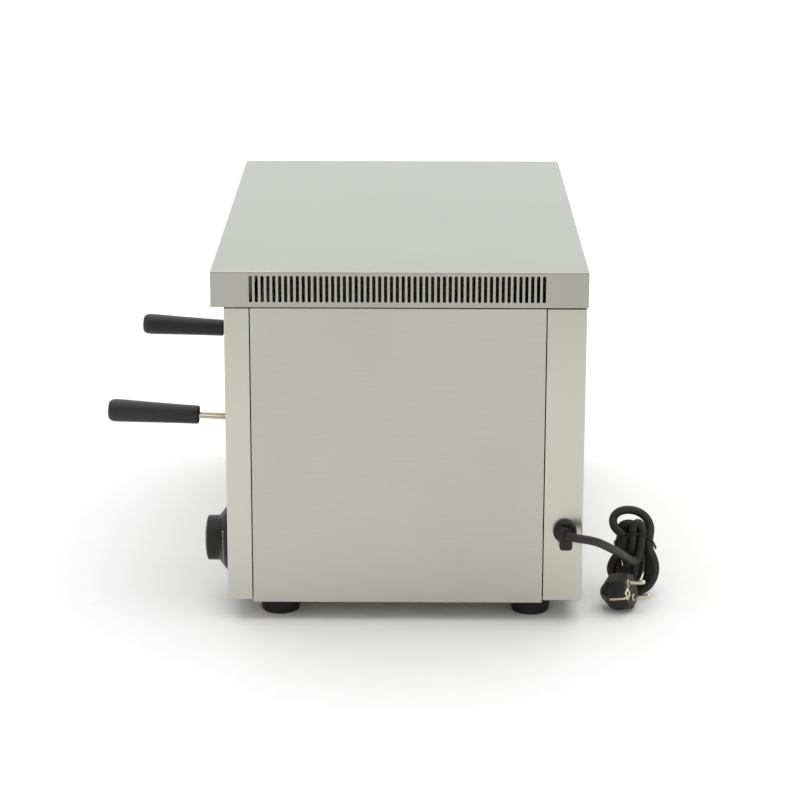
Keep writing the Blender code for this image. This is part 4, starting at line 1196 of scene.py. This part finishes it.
def make_rocker(row, x, z):
    """The rocker's side view, a bar with a dished front, swept across X with its edges rounded."""
    tilt, half_height, back = math.radians(10.0), 9.5, -2.5

    def dish(height):
        """How far out the front is at a height: least in the middle."""
        return 2.8 + 1.7 * (np.abs(height) / half_height) ** 1.6

    heights = np.linspace(-half_height, half_height, 25)
    front = np.stack([heights, dish(heights)], axis=1)
    outline = np.concatenate([front, [(half_height, back), (-half_height, back)]])
    outline = fillet(outline, 0.7, steps=3, support=0.05, closed=True)
    centre = outline.mean(axis=0)
    # Places across the rocker, with the outline's size at each.
    sections = [(-8.4, 0.93), (-8.1, 0.98), (-7.6, 1.0), (7.6, 1.0), (8.1, 0.98), (8.4, 0.93)]
    turn = np.array([[math.cos(tilt), math.sin(tilt)], [-math.sin(tilt), math.cos(tilt)]])
    pivot = np.array([x, FRONT_Y + 0.8 * MM, z])

    def put(across, up_out):
        """From (height along the rocker, distance outwards) to the row frame, tilted to the rest
        position."""
        tilted = up_out @ turn.T
        zs, outs = tilted[..., 0], tilted[..., 1]
        return pivot + np.stack([np.broadcast_to(across, zs.shape), -outs, zs], axis=-1) * MM

    def on_rocker(flat):
        """Places flat points a hair over the dished front."""
        height = flat[:, 1] / MM
        return put(flat[:, 0] / MM, np.stack([height, dish(height) + 0.03], axis=1))

    rings = np.array([put(across, centre + (outline - centre) * size) for across, size in sections])
    rocker = surface(f"rocker_cap_{row}", rings, RED_LENS, sharp_angle=50)
    place(rocker, f"rocker_{row}", f"switch_rocker_{row}", slot="red_rocker")
    angle = np.linspace(0.0, FULL_TURN, 33)[:-1]
    circle = np.stack([np.cos(angle), np.sin(angle)], axis=1)
    ring = np.concatenate([circle * 1.7, circle * 1.2]) * MM + (0, -5.2 * MM)
    shapes = [(ring, grid_faces(2, 32, capped=False)), bar(-0.3 * MM, 3.6 * MM, 0.3 * MM, 6.8 * MM)]
    marks = printed(f"rocker_marks_{row}", shapes, on_rocker, WHITE_INK)
    place(marks, f"rocker_{row}", slot="red_rocker")


def make_lamp():
    """A domed amber lens in a plated ring."""
    low, high = corners("pilot_lamp")
    base = np.array([(low[0] + high[0]) / 2, FRONT_Y - 0.3 * MM, (low[2] + high[2]) / 2])
    lens = [(0.3, 3.4), (3.0, 3.0), (4.6, 1.7), (4.8, 0.6), (4.8, -15.5), (0.3, -15.5)]
    lens = fillet(lens, 0.8, steps=4, support=0.1) * MM
    bezel = [(4.9, 1.5), (6.2, 1.2), (6.6, 0.4), (6.6, 0.0), (4.9, 0.0)]
    bezel = fillet(bezel, 0.4, steps=3, support=0.05, closed=True) * MM
    glass = turned("lamp_lens", lens, base, (0, -1, 0), AMBER_LENS, 40)
    ring = turned("lamp_ring", bezel, base, (0, -1, 0), CHROME, 48, wrap_rings=True)
    place(joined("lamp", [glass, ring]), "root", "pilot_lamp", slot="amber_lens")


make_knob()
make_legends()
make_switches()
make_lamp()


# ---- CAD nodes whose shape is right get their finish here ----
def finish_nodes(material, *names):
    """Give CAD nodes one material, their shapes unchanged."""
    for name in names:
        NODES[name].data.materials.clear()
        NODES[name].data.materials.append(material)


CHAMBER_SHEETS = ("wall_left", "wall_right", "back", "roof", "floor")
# The chamber sheets take the darkened reflector finish: painted shade seen through the vent slots.
finish_nodes(SHADE_DARKENED_REFLECTOR, *(f"chamber_{sheet}" for sheet in CHAMBER_SHEETS))
finish_nodes(SATIN_STEEL, "base_plate", "cover_brace", "rack_guide_left", "rack_guide_right")
finish_nodes(CERAMIC, *(name for name in NODES if name.startswith("tube_cap")))
finish_nodes(WHITE_NYLON, "terminal_block", "thermal_cutout")
finish_nodes(CORD_RUBBER, "mains_tail", "wiring_loom")
finish_nodes(ZINC, "timer_body", "timer_shaft")

bpy.data.materials.remove(PLAIN)
